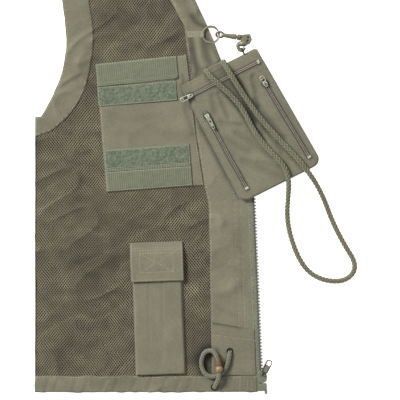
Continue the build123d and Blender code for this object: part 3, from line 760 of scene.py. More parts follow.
def net(name, node):
    """The diamond net: every hole is open, and its knots stand a little proud."""
    loop = outlines(node)[0]
    low, high = np.min(loop, axis=0), np.max(loop, axis=0)
    half_x, half_y = NET_PITCH[0] / 2, NET_PITCH[1] / 2
    columns = int((high[0] - low[0]) / half_x) + 2
    rows = int((high[1] - low[1]) / half_y) + 2
    i, j = np.meshgrid(np.arange(columns), np.arange(rows), indexing="ij")
    i, j = i[(i + j) % 2 == 1], j[(i + j) % 2 == 1]
    x, y = low[0] + i * half_x, low[1] + j * half_y
    keep = inside(x, y, refine(loop, 20.0))
    i, j, x, y = i[keep], j[keep], x[keep], y[keep]
    cells = [((ci - 1, cj), (ci, cj - 1), (ci + 1, cj), (ci, cj + 1)) for ci, cj in zip(i, j)]
    knot_of = {}
    for cell in cells:
        for corner in cell:
            knot_of.setdefault(corner, len(knot_of))
    knots = low + np.array(list(knot_of)) * (half_x, half_y)
    slant = math.hypot(half_x, half_y)
    open_x = half_x - NET_STRAND / 2 * slant / half_y
    open_y = half_y - NET_STRAND / 2 * slant / half_x
    holes = np.column_stack([x, y])[:, None] + [(-open_x, 0), (0, -open_y), (open_x, 0), (0, open_y)]
    flat = np.clip(np.concatenate([knots, holes.reshape(-1, 2)]), low, high)
    pull = np.column_stack([soft_noise(*flat.T, 26, seed) for seed in (51, 52)])
    pulled = flat + 0.9 * pull
    pulled[:, 0] = np.maximum(pulled[:, 0], low[0])
    level = top_of(node)
    z = level + relief(*pulled.T) * level / Z_TOP
    z[:len(knots)] += KNOT_RISE
    z[len(knots):] -= KNOT_RISE
    faces = []
    for n, cell in enumerate(cells):
        corners = [knot_of[corner] for corner in cell]
        first = len(knots) + 4 * n
        for m in range(4):
            after = (m + 1) % 4
            faces.append((corners[m], corners[after], first + after, first + m))
    # The net's tone: uneven patches, painted slanting lights along its folds, and painted shadow beside the
    # drawcord.
    a, b = turned(*flat.T, 32)
    tone = 0.95 + 0.27 * soft_noise(a, b * 2.0, 44, 53)
    tone = tone + 0.26 * soft_noise(flat[:, 0], flat[:, 1] * 1.5, 11, 54)
    tone = tone + 0.42 * (1 - np.abs(soft_noise(a, b * 3.0, 66, 63))) ** 9
    tone = np.maximum(tone - cord_shade(*flat.T, DRAW_ROUTE, 9.0, 0.85), DARKEST_NET)
    points = np.column_stack([pulled, z])
    obj = make_object(name, points, faces, "vest", ["net", "net_shaded"], "mesh_net", tone, is_smooth=False,
                      replaces=[node])
    # The strands of one slant take the lit yarn and those of the other its painted shaded copy; in patches
    # the slants swap.
    other_slant_lit = (soft_noise(x, y * 1.3, 17, 55) > 0.04).astype(int)
    index = np.column_stack([1 - other_slant_lit, other_slant_lit] * 2).ravel()
    obj.data.polygons.foreach_set("material_index", index.tolist())


def shade_through_net(x, y):
    """The painted shade that is seen through the net, in uneven brown patches, with painted slanting lights
    along its folds and painted shadow beside the drawcord.
    """
    a, b = turned(x, y, 30)
    c, d = turned(x, y, 8)
    tone = 0.85 + 0.9 * soft_noise(c * 0.6, d * 1.7, 46, 61) + 0.6 * soft_noise(x, y * 3.0, 60, 62)
    tone = tone + 0.35 * soft_noise(x, y * 1.4, 20, 64)
    tone = tone + 0.8 * (1 - np.abs(soft_noise(a, b * 3.0, 66, 63))) ** 7
    return np.clip(tone - cord_shade(x, y, DRAW_ROUTE, 7.0, 0.8), DARKEST_NET, 2.3)


class ShellCloth(Cloth):
    """The shell's inner side, which is seen through the net: its tone is that of the painted shade there."""

    def tone(self, x, y):
        return shade_through_net(x, y)


def folded_layer(node, thickness, material, slot):
    """Two leaves of cloth that are joined by a rounded fold along the front edge."""
    loop = refine(outlines(node)[0], 7.0)
    points, faces = fill([loop], 10.0)
    low, high = low_high(node)
    x, y = points.T
    upper = high.z + relief(x, y) * high.z / Z_TOP
    lower = low.z + thickness + relief(x, y) * low.z / Z_TOP
    count = len(points)
    quads, border = two_leaves(faces, count)
    neck = ZIP_HEAD[1]
    fold = [(a, b) for a, b in border
            if min(x[a], x[b]) > edge_x(min(y[a], neck)) - 14 and max(y[a], y[b]) < neck]
    bulge, extra = {}, []
    for n in {v for edge in fold for v in edge}:
        bulge[n] = 2 * count + len(extra)
        extra.append((x[n] + 0.9, y[n], (upper[n] + lower[n]) / 2))
    for a, b in fold:
        quads.append((b, a, bulge[a], bulge[b]))
        quads.append((bulge[b], bulge[a], a + count, b + count))
    every = np.concatenate([np.column_stack([points, upper]), np.column_stack([points, lower]), extra])
    obj = make_object(node + "_cloth", every, quads, "vest", material, slot, replaces=[node])
    thicken(obj, thickness)


def flat_bags(node):
    """Empty outer pockets, pressed flat, with soft rims."""
    low, high = low_high(node)
    for n, loop in enumerate(outlines(node)):
        points, faces = fill([refine(loop, 5.0)], 8.0)
        x, y = points.T
        rise = np.maximum((high.z - low.z) / 2 * rounded(from_rim(x, y, loop), 4.0), 0.15)
        middle = (low.z + high.z) / 2 + relief(x, y) * high.z / Z_TOP
        leaves = [np.column_stack([points, middle + side * rise]) for side in (1, -1)]
        quads, border = two_leaves(faces, len(points))
        quads += [(b, a, a + len(points), b + len(points)) for a, b in border]
        obj = make_object(f"{node}_bag_{n}", np.concatenate(leaves), quads, "vest", "shell", "shell_fabric",
                          replaces=[node])


def make_layers():
    """Everything of the vest that is cloth and lies flat."""
    for node in ("right_front_facing", "right_armhole_facing", "right_hem_band", "right_front_shell"):
        slot = "shell_fabric" if node.endswith("shell") else "facing_fabric"
        Cloth(node, HIDDEN_STEP, edge_lift=0.0).build("shell", slot)
    net("right_lining_net", "right_front_lining")
    folded_layer("back_shell", FABRIC, "shell", "shell_fabric")
    # The back lining is a sheet of painted shade.
    folded_layer("back_lining", MESH, "shaded", "mesh_net")
    for side in ("right", "left"):
        flat_bags(side + "_outer_pockets")
        Cloth(side + "_outer_flaps", HIDDEN_STEP, edge_lift=0.0).build("shell", "shell_fabric")
    # The left shell's upper face is painted shade, the dark seen through the net's holes; its rim is khaki.
    shell = ShellCloth("left_front_shell", 4.0, edge_lift=0.0)
    shell.build("shaded", "shell_fabric", rests_on=["back_shell"], rim="shell")
    net("left_lining_net", "left_mesh_lining")


# ---- tapes and the tool pocket ----
def oblong(corners, step_u, step_v, height):
    """A grid over four corners. height(u, v, long, wide) gives its height and its tone.

    u runs along the first side and v along the next, both in millimetres.
    """
    origin, right, _, up = [np.array(c) for c in corners]
    long, wide = np.linalg.norm(right - origin), np.linalg.norm(up - origin)
    us = np.linspace(0, long, max(2, int(long / step_u)) + 1)
    vs = np.linspace(0, wide, max(2, int(wide / step_v)) + 1)
    u, v = np.meshgrid(us, vs, indexing="ij")
    flat = origin + u[..., None] * (right - origin) / long + v[..., None] * (up - origin) / wide
    z, tone = height(u, v, long, wide)
    points = np.concatenate([flat, z[..., None]], axis=2).reshape(-1, 3)
    return points, grid_faces(len(us), len(vs)), tone.reshape(-1), (long * MM, wide * MM)


def grid_faces(rows, columns):
    """The quads of a grid of points that is filled row by row."""
    return [(a * columns + b, (a + 1) * columns + b, (a + 1) * columns + b + 1, a * columns + b + 1)
            for a in range(rows - 1) for b in range(columns - 1)]


def strip(name, corners, steps, height, body, material, slot, thickness, replaces=()):
    """A thin oblong sheet over four corners, and its length and width in metres."""
    points, faces, tone, size = oblong(corners, *steps, height)
    obj = make_object(name, points, faces, body, material, slot, tone, replaces=replaces)
    return thicken(obj, thickness), size


def cross_rows(first, second, shares, ends, count):
    """Straight rows at some shares of the way from one side, given by its ends, to the opposite side."""
    rows = []
    for share in shares:
        start, end = [a + (b - a) * share for a, b in zip(first, second)]
        rows.append([tuple(start + (end - start) * t) for t in np.linspace(*ends, count)])
    return rows


def ordered_corners(node):
    """A tape's corners, from its lower left one and anticlockwise."""
    loop = outlines(node)[0]
    first = min(range(len(loop)), key=lambda n: loop[n][0] + loop[n][1])
    return loop[first:] + loop[:first]


def tape(node, body, fuzzy):
    """A strip of hook or loop tape with plain selvages and a row of stitches along each side."""
    base = top_of(node) - 0.35

    def height(u, v, long, wide):
        at_end, at_side = np.minimum(u, long - u), np.minimum(v, wide - v)
        field = smooth(at_side, 1.7, 2.6) * smooth(at_end, 0.8, 1.6)
        bend = 0.3 * soft_noise(u, v, 34, 71 + len(node)) * smooth(at_end, 0, 8)
        if fuzzy:
            tufts = 0.5 * soft_noise(u, v, 1.7, 72) + 0.35 * soft_noise(u, v, 0.9, 73)
            rise = 0.25 + 0.55 * tufts
            tone = 1 + 0.42 * field * soft_noise(u, v, 1.6, 74) - 0.04 * field + 0.16 * (1 - field)
        else:
            ribs = 0.5 + 0.5 * np.sin(u * 2 * math.pi / RIB_PITCH)
            rise = 0.15 + 0.5 * ribs
            # On hook tape the ribs' crests are painted lighter and the hollows between them painted shade.
            tone = 1 + field * (0.34 * ribs - 0.19) + 0.10 * (1 - field)
            tone = tone + 0.08 * soft_noise(u, v * 3, 6.0, 75) * field
        return base + field * rise + bend - 0.3 * fade(np.minimum(at_side, at_end), 0.5), tone

    corners = [np.array(c) for c in ordered_corners(node)]
    material, slot, step = ("loop", "loop_tape", 0.8) if fuzzy else ("hook", "hook_tape", 0.58)
    obj, size = strip(node + "_tape", corners, (step, 0.85), height, body, material, slot, 1.15, [node])
    long, wide = size
    inset = 1.3 * MM / wide
    rows = cross_rows(corners[:2], (corners[3], corners[2]), (inset, 1 - inset), (0.01, 0.99), 40)
    inset = 1.2 * MM / long
    rows += cross_rows((corners[0], corners[3]), corners[1:3], (inset, 1 - inset), (0.05, 0.95), 12)
    stitches(node + "_stitches", rows, lambda x, y: np.full(len(x), base + 0.1), body, length=2.4,
             width=0.55)


def tape_fold(name, flap_edge, strip_edge, ridge):
    """The folded backing that joins a flap to the strip beside it, with its two rows of stitches."""
    low, high = [np.array(p) for p in flap_edge], [np.array(p) for p in strip_edge]

    def height(u, v, long, wide):
        z = Z_TOP + 1.75 + ridge * np.sin(np.clip(v / wide, 0, 1) * 2 * math.pi) ** 2
        z = z + 0.2 * soft_noise(u, v, 9, 121) - 0.8 * fade(np.minimum(u, long - u), 0.8)
        # Painted light on the two ridges, and painted shade along the fold's middle.
        return z, 1 + 0.10 * np.sin(v / wide * 2 * math.pi) ** 2 - 0.22 * fade(v / wide - 0.5, 0.14)

    corners = [low[0], low[1], high[1], high[0]]
    obj, _ = strip(name, corners, (2.0, 0.4), height, None, "hook", "hook_tape", 0.5)
    rows = cross_rows(low, high, (0.2, 0.8), (0.01, 0.99), 40)
    level = Z_TOP + 1.8 + ridge * 0.8
    seam = stitches(name + "_stitches", rows, lambda x, y: np.full(len(x), level), body=None, width=0.45)
    for piece in (obj, seam):
        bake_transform(piece)


def make_tapes():
    flap, loops = ordered_corners("upper_hook_flap"), ordered_corners("upper_loop_strip")
    tape_fold("upper_tape_fold", (flap[0], flap[1]), (loops[3], loops[2]), 0.5)
    flap, loops = ordered_corners("lower_hook_flap"), ordered_corners("lower_loop_strip")
    tape_fold("lower_tape_fold", (flap[3], flap[2]), (loops[0], loops[1]), 0.4)
    tape("upper_hook_flap", "upper_flap", False)
    tape("upper_loop_strip", "vest", True)
    tape("lower_loop_strip", "vest", True)
    tape("lower_hook_flap", "lower_flap", False)


def pocket_point(a, b):
    """A point of the tool pocket: a across it, b up from its flap's hinge."""
    x, y = turned(a, b, -POCKET_SLANT)
    return POCKET_AT[0] + x, POCKET_AT[1] + y


def pocket_object(name, across, up, heights, tones, body, node, thickness):
    """A sheet of the tool pocket from rows of points: where they are across and up it, and how high."""
    points = [(*pocket_point(a, b), z)
              for b, row, level in zip(up, across, heights) for a, z in zip(row, level)]
    faces = grid_faces(len(up), len(across[0]))
    tone = np.ravel(tones)
    obj = make_object(name, points, faces, body, "facing", "facing_fabric", tone, replaces=[node])
    thicken(obj, thickness)


POCKET_HALF = 29.75
POCKET_LOW, POCKET_HIGH = -165.0, -22.5
POCKET_SLACK = 0.55           # the share of its full depth that the empty pocket keeps
POCKET_EDGE = 1.5             # radius of its rim
FLAP_HALF, FLAP_REACH = 33.0, 49.0
FLAP_ROWS = (7.2, 9.6)        # the flap's two rows of stitches, below its hinge


def make_tool_pocket():
    """The raised pocket with a pressed crease up each third, and its stitched flap."""
    back = Cloth("tool_pocket_back", 4.0, edge_lift=0.15)
    back.build("facing", "facing_fabric", rests_on=["left_mesh_lining"])
    floor = bottom_of("tool_pocket_front") + FABRIC
    depth = POCKET_SLACK * (top_of("tool_pocket_front") - floor)
    arc = np.radians(np.linspace(0, 90, 7))
    rim = POCKET_HALF - POCKET_EDGE * (1 - np.cos(arc))
    inner = np.linspace(-POCKET_HALF + POCKET_EDGE, POCKET_HALF - POCKET_EDGE, 33)[1:-1]
    side = np.concatenate([np.sin(arc), np.ones(len(inner)), np.sin(arc[::-1])])
    straight = np.linspace(POCKET_LOW + 4.5, POCKET_HIGH, 66)
    up = np.concatenate([POCKET_LOW + POCKET_EDGE * (1 - np.cos(arc)), straight])
    across, heights, tones = [], [], []
    for b, rise in zip(up, np.concatenate([np.sin(arc), np.ones(len(straight))])):
        pinch = 0.5 * float(soft_noise(b, 3.0, 30, 81)) - 0.4 * math.sin((b - POCKET_LOW) / 142 * math.pi)
        row = np.concatenate([-rim - pinch, inner, rim[::-1] + pinch])
        dents = 0.35 * soft_noise(row, b, 22, 82) + 0.25 * soft_noise(row, b * 0.3, 7, 83)
        for crease in (-10.5, 6.5):
            dents = dents - 0.45 * fade(row - crease - 0.02 * b, 1.3) * smooth(b, -150, -120)
        across.append(row)
        level = floor - 0.35 + depth * np.minimum(side, rise) + dents * side * rise
        heights.append(np.maximum(level, floor - 0.3))
        # A painted highlight along the rims, painted shade in the dents and creases, and a painted shadow
        # below the flap's edge.
        tones.append(1 + 0.04 * fade(np.abs(row) - POCKET_HALF + 2.5, 1.5) + 0.10 * dents
                     - 0.35 * fade(b + FLAP_REACH + 1.0, 1.6))
    pocket_object("tool_pocket_shell", across, up, heights, tones, "vest", "tool_pocket_front", 0.7)

    flap_top = floor + depth + 1.9
    hinge_top = bottom_of("tool_pocket_flap") + 1.5

    def flap_height(a, b):
        rise = smooth(-b, 0.5, 17.5)
        z = hinge_top + (flap_top - hinge_top + 0.35 * soft_noise(a, b, 19, 84)) * rise
        z = z + 0.7 * fade(-b - FLAP_REACH, 6.0) * soft_noise(a, b, 24, 85)
        for row in FLAP_ROWS:
            z = z - 0.3 * fade(-b - row, 0.8)
        return z - 0.25 * fade(FLAP_HALF - np.abs(a), 0.7)

    columns = np.linspace(-FLAP_HALF, FLAP_HALF, 49)
    up = np.linspace(0, -FLAP_REACH, 37)
    # A painted highlight along the flap's sides and its lower edge.
    tones = [1 + 0.08 * fade(FLAP_HALF - np.abs(columns) - 1, 1.0) + 0.08 * fade(FLAP_REACH + b - 1, 1.2)
             for b in up]
    pocket_object("tool_flap_cloth", [columns] * len(up), up, [flap_height(columns, b) for b in up], tones,
                  "tool_flap", "tool_pocket_flap", 1.1)

    def on_flap(x, y):
        return flap_height(*turned(x - POCKET_AT[0], y - POCKET_AT[1], POCKET_SLANT))

    left, right, high, low = -21.5, 20.5, -13.5, -37.5
    rows = [((-31, -row), (31, -row)) for row in FLAP_ROWS]
    rows += [((-31, -2), (-31, -47), (31, -47), (31, -2)),
             ((left, high), (right, high), (right, low), (left, low), (left, high)),
             ((left, high), (right, low)), ((left, low), (right, high))]
    rows = [refine([pocket_point(*end) for end in row], 2.0, closed=False) for row in rows]
    stitches("tool_flap_stitches", rows, on_flap, "tool_flap", width=0.42)


# ---- zips ----
TOOTH_SIDES = 8
TOOTH_SECTIONS = [            # along a tooth, and its half width and half height there
    (-2.7, 1.0, 1.1), (-1.2, 1.3, 1.3), (-0.3, 1.2, 1.25), (0.2, 1.0, 1.1),
    (0.9, 1.05, 1.1), (1.5, 0.85, 1.0), (2.1, 0.5, 0.6),
]


def centres(node):
    """The middle of every separate solid of a node, in a fixed order."""
    bm = merged(node)
    left, found = set(bm.verts), []
    while left:
        group, queue = [], [left.pop()]
        while queue:
            v = queue.pop()
            group.append(v.co)
            near = {e.other_vert(v) for e in v.link_edges} & left
            left -= near
            queue += near
        middle = [(min(axis) + max(axis)) / 2 for axis in zip(*group)]
        found.append(((middle[0] - SIDE_X) / MM, (middle[1] - HEM_Y) / MM, middle[2] / MM))
    bm.free()
    return sorted(found)


def moulded_teeth(node):
    """Moulded teeth: a clamp round the tape's cord and a head that hooks into the next side."""
    ux, uy = math.cos(ZIP_LEAN), math.sin(ZIP_LEAN)
    around = [2 * math.pi * (k + 0.5) / TOOTH_SIDES for k in range(TOOTH_SIDES)]
    square = [(max(-1, min(1, 1.25 * math.cos(t))), max(-1, min(1, 1.25 * math.sin(t)))) for t in around]
    points, faces = [], []
    for cx, cy, cz in centres(node):
        first = len(points)
        for a, half_b, half_z in TOOTH_SECTIONS:
            for b, h in square:
                b = b * half_b
                points.append((cx + a * ux - b * uy, cy + a * uy + b * ux, cz + half_z * h))
        for s in range(first, len(points) - TOOTH_SIDES, TOOTH_SIDES):
            for k in range(TOOTH_SIDES):
                a, b = s + k, s + (k + 1) % TOOTH_SIDES
                faces.append((a, b, b + TOOTH_SIDES, a + TOOTH_SIDES))
        faces.append(tuple(range(first + TOOTH_SIDES - 1, first - 1, -1)))
        faces.append(tuple(range(len(points) - TOOTH_SIDES, len(points))))
    make_object(node + "_moulded", points, faces, "vest", "teeth", "zip_teeth", is_smooth=False,
                replaces=[node])


ZIP_CORD = 1.5                # the thick cord that the teeth clamp, past the tape's own edge


def zip_tape(node):
    """The tape of the front zip, with its corded edge."""
    corners = [np.array(corner, float) for corner in ordered_corners(node)]
    for corner in corners[1:3]:
        corner[0] += ZIP_CORD
    level = top_of(node) + 0.15

    def height(u, v, long, wide):
        inwards = long - u
        z = level + 0.2 * fade(inwards - 0.9, 0.8) + 0.3 * (1 - smooth(u, long - 5.0, long - 3.2))
        dark = 0.62 * smooth(u, long - ZIP_CORD - 0.7, long - ZIP_CORD) + 0.1 * fade(inwards - 3.6, 0.6)
        return z, 1.04 + 0.06 * np.sin(u * 3.0) - dark

    obj, size = strip(node + "_woven", corners, (0.8, 4.0), height, "vest", "zip_tape", "zip_tape", 0.5,
                      [node])


def polished(node, body, material, width=0.3):
    """A rigid CAD node with its sharp edges rounded off."""
    bm = merged(node)
    bmesh.ops.dissolve_limit(bm, angle_limit=math.radians(2), verts=bm.verts, edges=bm.edges)
    mesh = bpy.data.meshes.new(node + "_rounded")
    bm.to_mesh(mesh)
    bm.free()
    return rounding(show(mesh, body, material, replaces=[node]), width, 35)


def rounding(obj, width, sharp):
    """Rounds off the edges that turn by more than some degrees."""
    bevel = obj.modifiers.new("rounding", "BEVEL")
    bevel.width = width * MM
    bevel.segments = 3
    bevel.limit_method = "ANGLE"
    bevel.angle_limit = math.radians(sharp)
    bevel.harden_normals = True
    return obj


def make_zip_hardware():
    for side in ("front", "right"):
        moulded_teeth(side + "_zip_teeth")
    for side in ("front", "right"):
        zip_tape(side + "_zip_tape")
    polished("zip_retainer_box", "vest", "green", 0.5)
    polished("front_zip_top_stop", "vest", "green")
    polished("pouch_zip_stops", "pouch", "bright", 0.25)


# ---- round bars, the ring and the webbing ----
def tube(line, radius, sides=8, closed=False):
    """Points and faces of a round bar along a line of points. radius is one number or one for each point."""
    line = np.asarray(line, float)
    count = len(line)
    normals, sideways = across_line(line, closed)
    radius = np.broadcast_to(radius, count)[:, None, None]
    turn = np.arange(sides) * 2 * math.pi / sides
    ring = normals[:, None] * np.cos(turn)[:, None] + sideways[:, None] * np.sin(turn)[:, None]
    faces = []
    for n in range(count if closed else count - 1):
        here, ahead = n * sides, (n + 1) % count * sides
        for k in range(sides):
            after = (k + 1) % sides
            faces.append((here + k, here + after, ahead + after, ahead + k))
    if not closed:
        faces.append(tuple(reversed(range(sides))))
        faces.append(tuple(range((count - 1) * sides, count * sides)))
    return (line[:, None] + radius * ring).reshape(-1, 3), faces


def across_line(line, closed=False):
    """Two directions across a line at each of its points, which follow it without a twist."""
    ahead = np.roll(line, -1, axis=0) if closed else np.vstack([line[1:], 2 * line[-1] - line[-2]])
    behind = np.roll(line, 1, axis=0) if closed else np.vstack([2 * line[0] - line[1], line[:-1]])
    along = ahead - behind
    along /= np.linalg.norm(along, axis=1)[:, None]
    normal = np.cross(along[0], (0.3, 0.2, 0.93))
    normal /= np.linalg.norm(normal)
    normals = []
    for t in along:
        normal = normal - t * np.dot(normal, t)
        normal = normal / np.linalg.norm(normal)
        normals.append(normal)
    return np.array(normals), np.cross(along, normals)


def join(parts):
    """Several (points, faces) as one."""
    points, faces = [], []
    shift = 0
    for p, f in parts:
        points.append(p)
        faces += [tuple(k + shift for k in face) for face in f]
        shift += len(p)
    return np.concatenate(points), faces


def make_ring_and_dark_parts():
    """A split ring of two turns of wire, and the dark small parts."""
    low, high = low_high("accessory_ring")
    middle = (low + high) / 2
    turns = np.linspace(0, 4 * math.pi - 0.25, 150)
    radius = (high.x - low.x) / 2 - 1.3 + 0.9 * smooth(turns, 2 * math.pi - 0.5, 2 * math.pi + 0.5)
    rise = -0.46 + 0.92 * smooth(turns, 2 * math.pi - 0.6, 2 * math.pi + 0.6)
    line = np.column_stack([radius * np.cos(turns + 0.6), radius * np.sin(turns + 0.6), rise]) + middle
    make_object("split_ring", *tube(line, 1.0, 10), "ring", "wire", "painted_metal",
                replaces=["accessory_ring"])
    for node, body, width in (("snap_hook_gate", "hook_gate", 0.2), ("hook_rivets", "hook_body", 0.35),
                              ("hem_eyelets", "vest", 0.2)):
        polished(node, body, "blackened", width)


def soft_block(node, body, material, slot, voxel, seed, wobble):
    """A thick, stitched piece of cloth or webbing with rounded, uneven edges."""
    obj = bpy.data.objects.new(node + "_soft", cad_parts[node].data.copy())
    bpy.context.scene.collection.objects.link(obj)
    remesh = obj.modifiers.new("remesh", "REMESH")
    remesh.mode = "VOXEL"
    remesh.voxel_size = voxel * MM
    obj.modifiers.new("even", "SMOOTH").iterations = 5
    mesh = bpy.data.meshes.new_from_object(obj.evaluated_get(bpy.context.evaluated_depsgraph_get()))
    bpy.data.objects.remove(obj)
    points = (np.array([v.co[:] for v in mesh.vertices]) - np.array([SIDE_X, HEM_Y, 0])) / MM
    normals = np.array([v.normal[:] for v in mesh.vertices])
    lift = wobble * soft_noise(points[:, 0] + points[:, 2], points[:, 1], 5.0, seed)
    faces = [tuple(p.vertices) for p in mesh.polygons]
    bpy.data.meshes.remove(mesh)
    points = points + normals * lift[:, None]
    make_object(node + "_soft", points, faces, body, material, slot, replaces=[node])


def make_webbing():
    """The tab that holds the ring, with a stitched box at its sewn end."""
    soft_block("ring_tab", "vest", "webbing", "webbing", 0.45, 91, 0.12)
    low, high = low_high("ring_tab")
    left, right, foot, head = low.x + 2.0, low.x + 9.0, low.y + 1.4, high.y - 1.4
    box = [(left, foot), (right, foot), (right, head), (left, head), (left, foot)]
    strap_top = Z_TOP + 1.65
    stitches("ring_tab_stitches", [refine(box, 1.5, closed=False)], lambda x, y: np.full(len(x), strap_top),
             pitch=2.4, length=1.7, width=0.4)


# ---- the pouch ----
def pouch_point(u, v):
    """A point of the pouch: u along its top edge, v down from it."""
    turn = math.radians(POUCH_TURN)
    return (POUCH_AT[0] + u * math.cos(turn) + v * math.sin(turn),
            POUCH_AT[1] + u * math.sin(turn) - v * math.cos(turn))


def pouch_local(x, y):
    """The pouch's own (u, v) of a place on the vest."""
    u, up = turned(np.asarray(x) - POUCH_AT[0], np.asarray(y) - POUCH_AT[1], POUCH_TURN)
    return u, -up


POUCH_ZIPS = {                          # start and end as (u, v)
    "top": ((4.0, 17.0), (99.0, 17.0)),
    "left": ((12.6, 44.0), (16.4, 150.0)),
    "right": ((95.0, 40.0), (103.4, 150.0)),
}
BELLY = [(64, 22), (102, 20), (109, 150), (68, 152)]      # where the pouch sags onto the surface
POUCH_FOLDS = [                         # start and end as (u, v), how deep, how wide
    ((65, 25), (65, 82), 2.4, 3.6), ((46, 27), (53, 58), 2.0, 2.8), ((73, 58), (86, 116), 1.7, 3.2),
    ((53, 62), (62, 108), 1.7, 2.8), ((30, 28), (24, 48), 1.0, 3.6), ((86, 30), (76, 66), 1.5, 3.0),
    ((36, 84), (64, 132), 0.9, 3.6), ((28, 118), (60, 158), 0.9, 4.0), ((78, 118), (92, 158), 1.4, 3.2),
    ((38, 30), (36, 62), 1.3, 2.6), ((24, 62), (46, 78), 0.9, 3.0), ((20, 82), (40, 112), 0.8, 3.4),
    ((70, 90), (76, 132), 1.2, 2.6), ((44, 128), (70, 150), 0.8, 3.0),
]
# A line of painted shade on the pouch between the two runs of its cord.
BETWEEN_CORDS = [(226, 404), (244, 384), (257, 364), (269, 347), (283, 326)]
LIP_AT = 4.5                  # from a zip's middle to the crest of its cloth lip
LIP_STITCHES = 6.4            # and to the stitches beside it
COIL_ROW = 1.05
COIL_PITCH = 0.95
RIM_SEAM = 3.4                # from the pouch's rim to its seam
RIM_RADIUS = 2.6
POUCH_MIDDLE = (POUCH_FACE + POUCH_BACK) / 2


def zip_lines():
    """The middle lines of the pouch's zips, from the ends where they start."""
    return {name: [pouch_point(*end) for end in ends] for name, ends in POUCH_ZIPS.items()}


def pouch_top(x, y):
    """The height of the pouch's front, without the fall at its rim."""
    u, v = pouch_local(x, y)
    z = POUCH_FACE - 0.55 + 0.35 * soft_noise(u, v, 26, 101) + 0.25 * soft_noise(u * 2.2, v, 18, 102)
    a, b = turned(u, v, 40)
    z = z + 0.5 * (1 - np.abs(soft_noise(a, b * 2.4, 48, 103))) ** 6
    for start, end, depth, width in POUCH_FOLDS:
        z = z - depth * fade(near_path(u, v, [start, end])[0], width)
    for path in zip_lines().values():
        clear, along = near_path(x, y, path)
        flat = 1 - smooth(clear, 6.0, 14.0)
        z = z * (1 - flat) + (POUCH_FACE - 0.1) * flat
        z = z + 0.4 * fade(clear - LIP_AT, 0.85) * (1 + 0.12 * np.sin(along / 1.3))
        z = z - 0.28 * fade(clear - LIP_STITCHES, 0.6)
    return z


def pouch_height(x, y, outline):
    """The height of the pouch's front with its rim and its seam."""
    clear, along = near_path(x, y, outline)
    z = POUCH_MIDDLE + (pouch_top(x, y) - POUCH_MIDDLE) * rounded(clear, RIM_RADIUS)
    return z - 0.35 * fade(clear - RIM_SEAM, 0.7) + 0.10 * np.sin(along / 1.6) * fade(clear - 3, 3.0)


def pouch_tone(x, y, clear):
    """The painted light and shade of the pouch's front: painted shade at its rim, most on its left side, in
    its seam, beside the zips' lips, round the sliders and by the cord, a painted highlight on the lips, and
    painted light and shade on its folds. clear is the distance from its rim.
    """
    u, v = pouch_local(x, y)
    tone = 1 - (0.28 + 0.3 * fade(u, 4)) * fade(clear, 1.3) - 0.10 * fade(clear - RIM_SEAM, 0.6)
    for side, (start, end) in zip_lines().items():
        off, _ = near_path(x, y, [start, end])
        for at, width, change in ((3.5, 0.65, -0.50), (LIP_AT, 0.7, 0.12), (6.2, 0.6, -0.20)):
            tone = tone + change * fade(off - at, width)
        at = start + (np.array(end) - start) / math.dist(start, end) * POUCH_PULLS[side][0]
        tone = tone - 0.42 * fade(np.hypot(x - at[0], y - at[1]) - 4.0, 1.6)
    for start, end, depth, width in POUCH_FOLDS:
        off, _ = near_path(u, v, [start, end])
        tone = tone + depth * (0.05 * fade(off - 2.2 * width, width) - 0.18 * fade(off, 1.25 * width))
    cord_shadow = cord_shade(x, y, NECK_ROUTE, 6.2, 0.46) * (1.25 - 0.5 * smooth(v, 60, 130))
    tone = tone - cord_shadow - cord_shade(x, y, BETWEEN_CORDS, 7.0, 0.34)
    return np.maximum(tone + 0.07 * soft_noise(u, v, 30, 104), 0.3)


def make_pouch():
    """The pouch: one closed, slack bag whose lower half sags past the vest's edge."""
    outline = refine(outlines("pouch_back")[0], 1.6)
    closed = outline + outline[:1]
    points, faces = fill([outline], 1.55)
    x, y = points.T
    clear = from_rim(x, y, outline)
    at_rim = clear < 1e-3
    upper = np.where(at_rim, POUCH_MIDDLE, pouch_height(x, y, closed))
    belly = [pouch_point(*p) for p in BELLY]
    deep = np.where(inside(x, y, belly), from_rim(x, y, belly), 0)
    lower = POUCH_MIDDLE - (POUCH_MIDDLE - POUCH_BACK - 0.1) * rounded(clear, RIM_RADIUS)
    lower = lower - (POUCH_BACK - 0.6) * smooth(deep, 1.0, 15.0)
    count = len(points)
    off_rim = np.where(~at_rim)[0]
    under = np.arange(count)
    under[off_rim] = count + np.arange(len(off_rim))
    every = np.concatenate([np.column_stack([points, upper]), np.column_stack([points, lower])[off_rim]])
    quads = list(faces) + [tuple(int(under[k]) for k in reversed(f)) for f in faces]
    tone = np.concatenate([pouch_tone(x, y, clear), np.ones(len(off_rim))])
    bag = make_object("pouch_bag", every, quads, "pouch", "shell", "shell_fabric", tone,
                      replaces=["pouch_back", "pouch_front"])

    seam = offset(outline, RIM_SEAM)
    rows = [seam + seam[:1]]
    for path in zip_lines().values():
        line = refine(path, 3.0, closed=False)
        rows += [offset(line, side * LIP_STITCHES, closed=False) for side in (-1, 1)]
    stitches("pouch_stitches", rows, lambda sx, sy: pouch_height(sx, sy, closed), "pouch", pitch=2.9,
             length=2.0, width=0.4)
    make_pouch_tab()


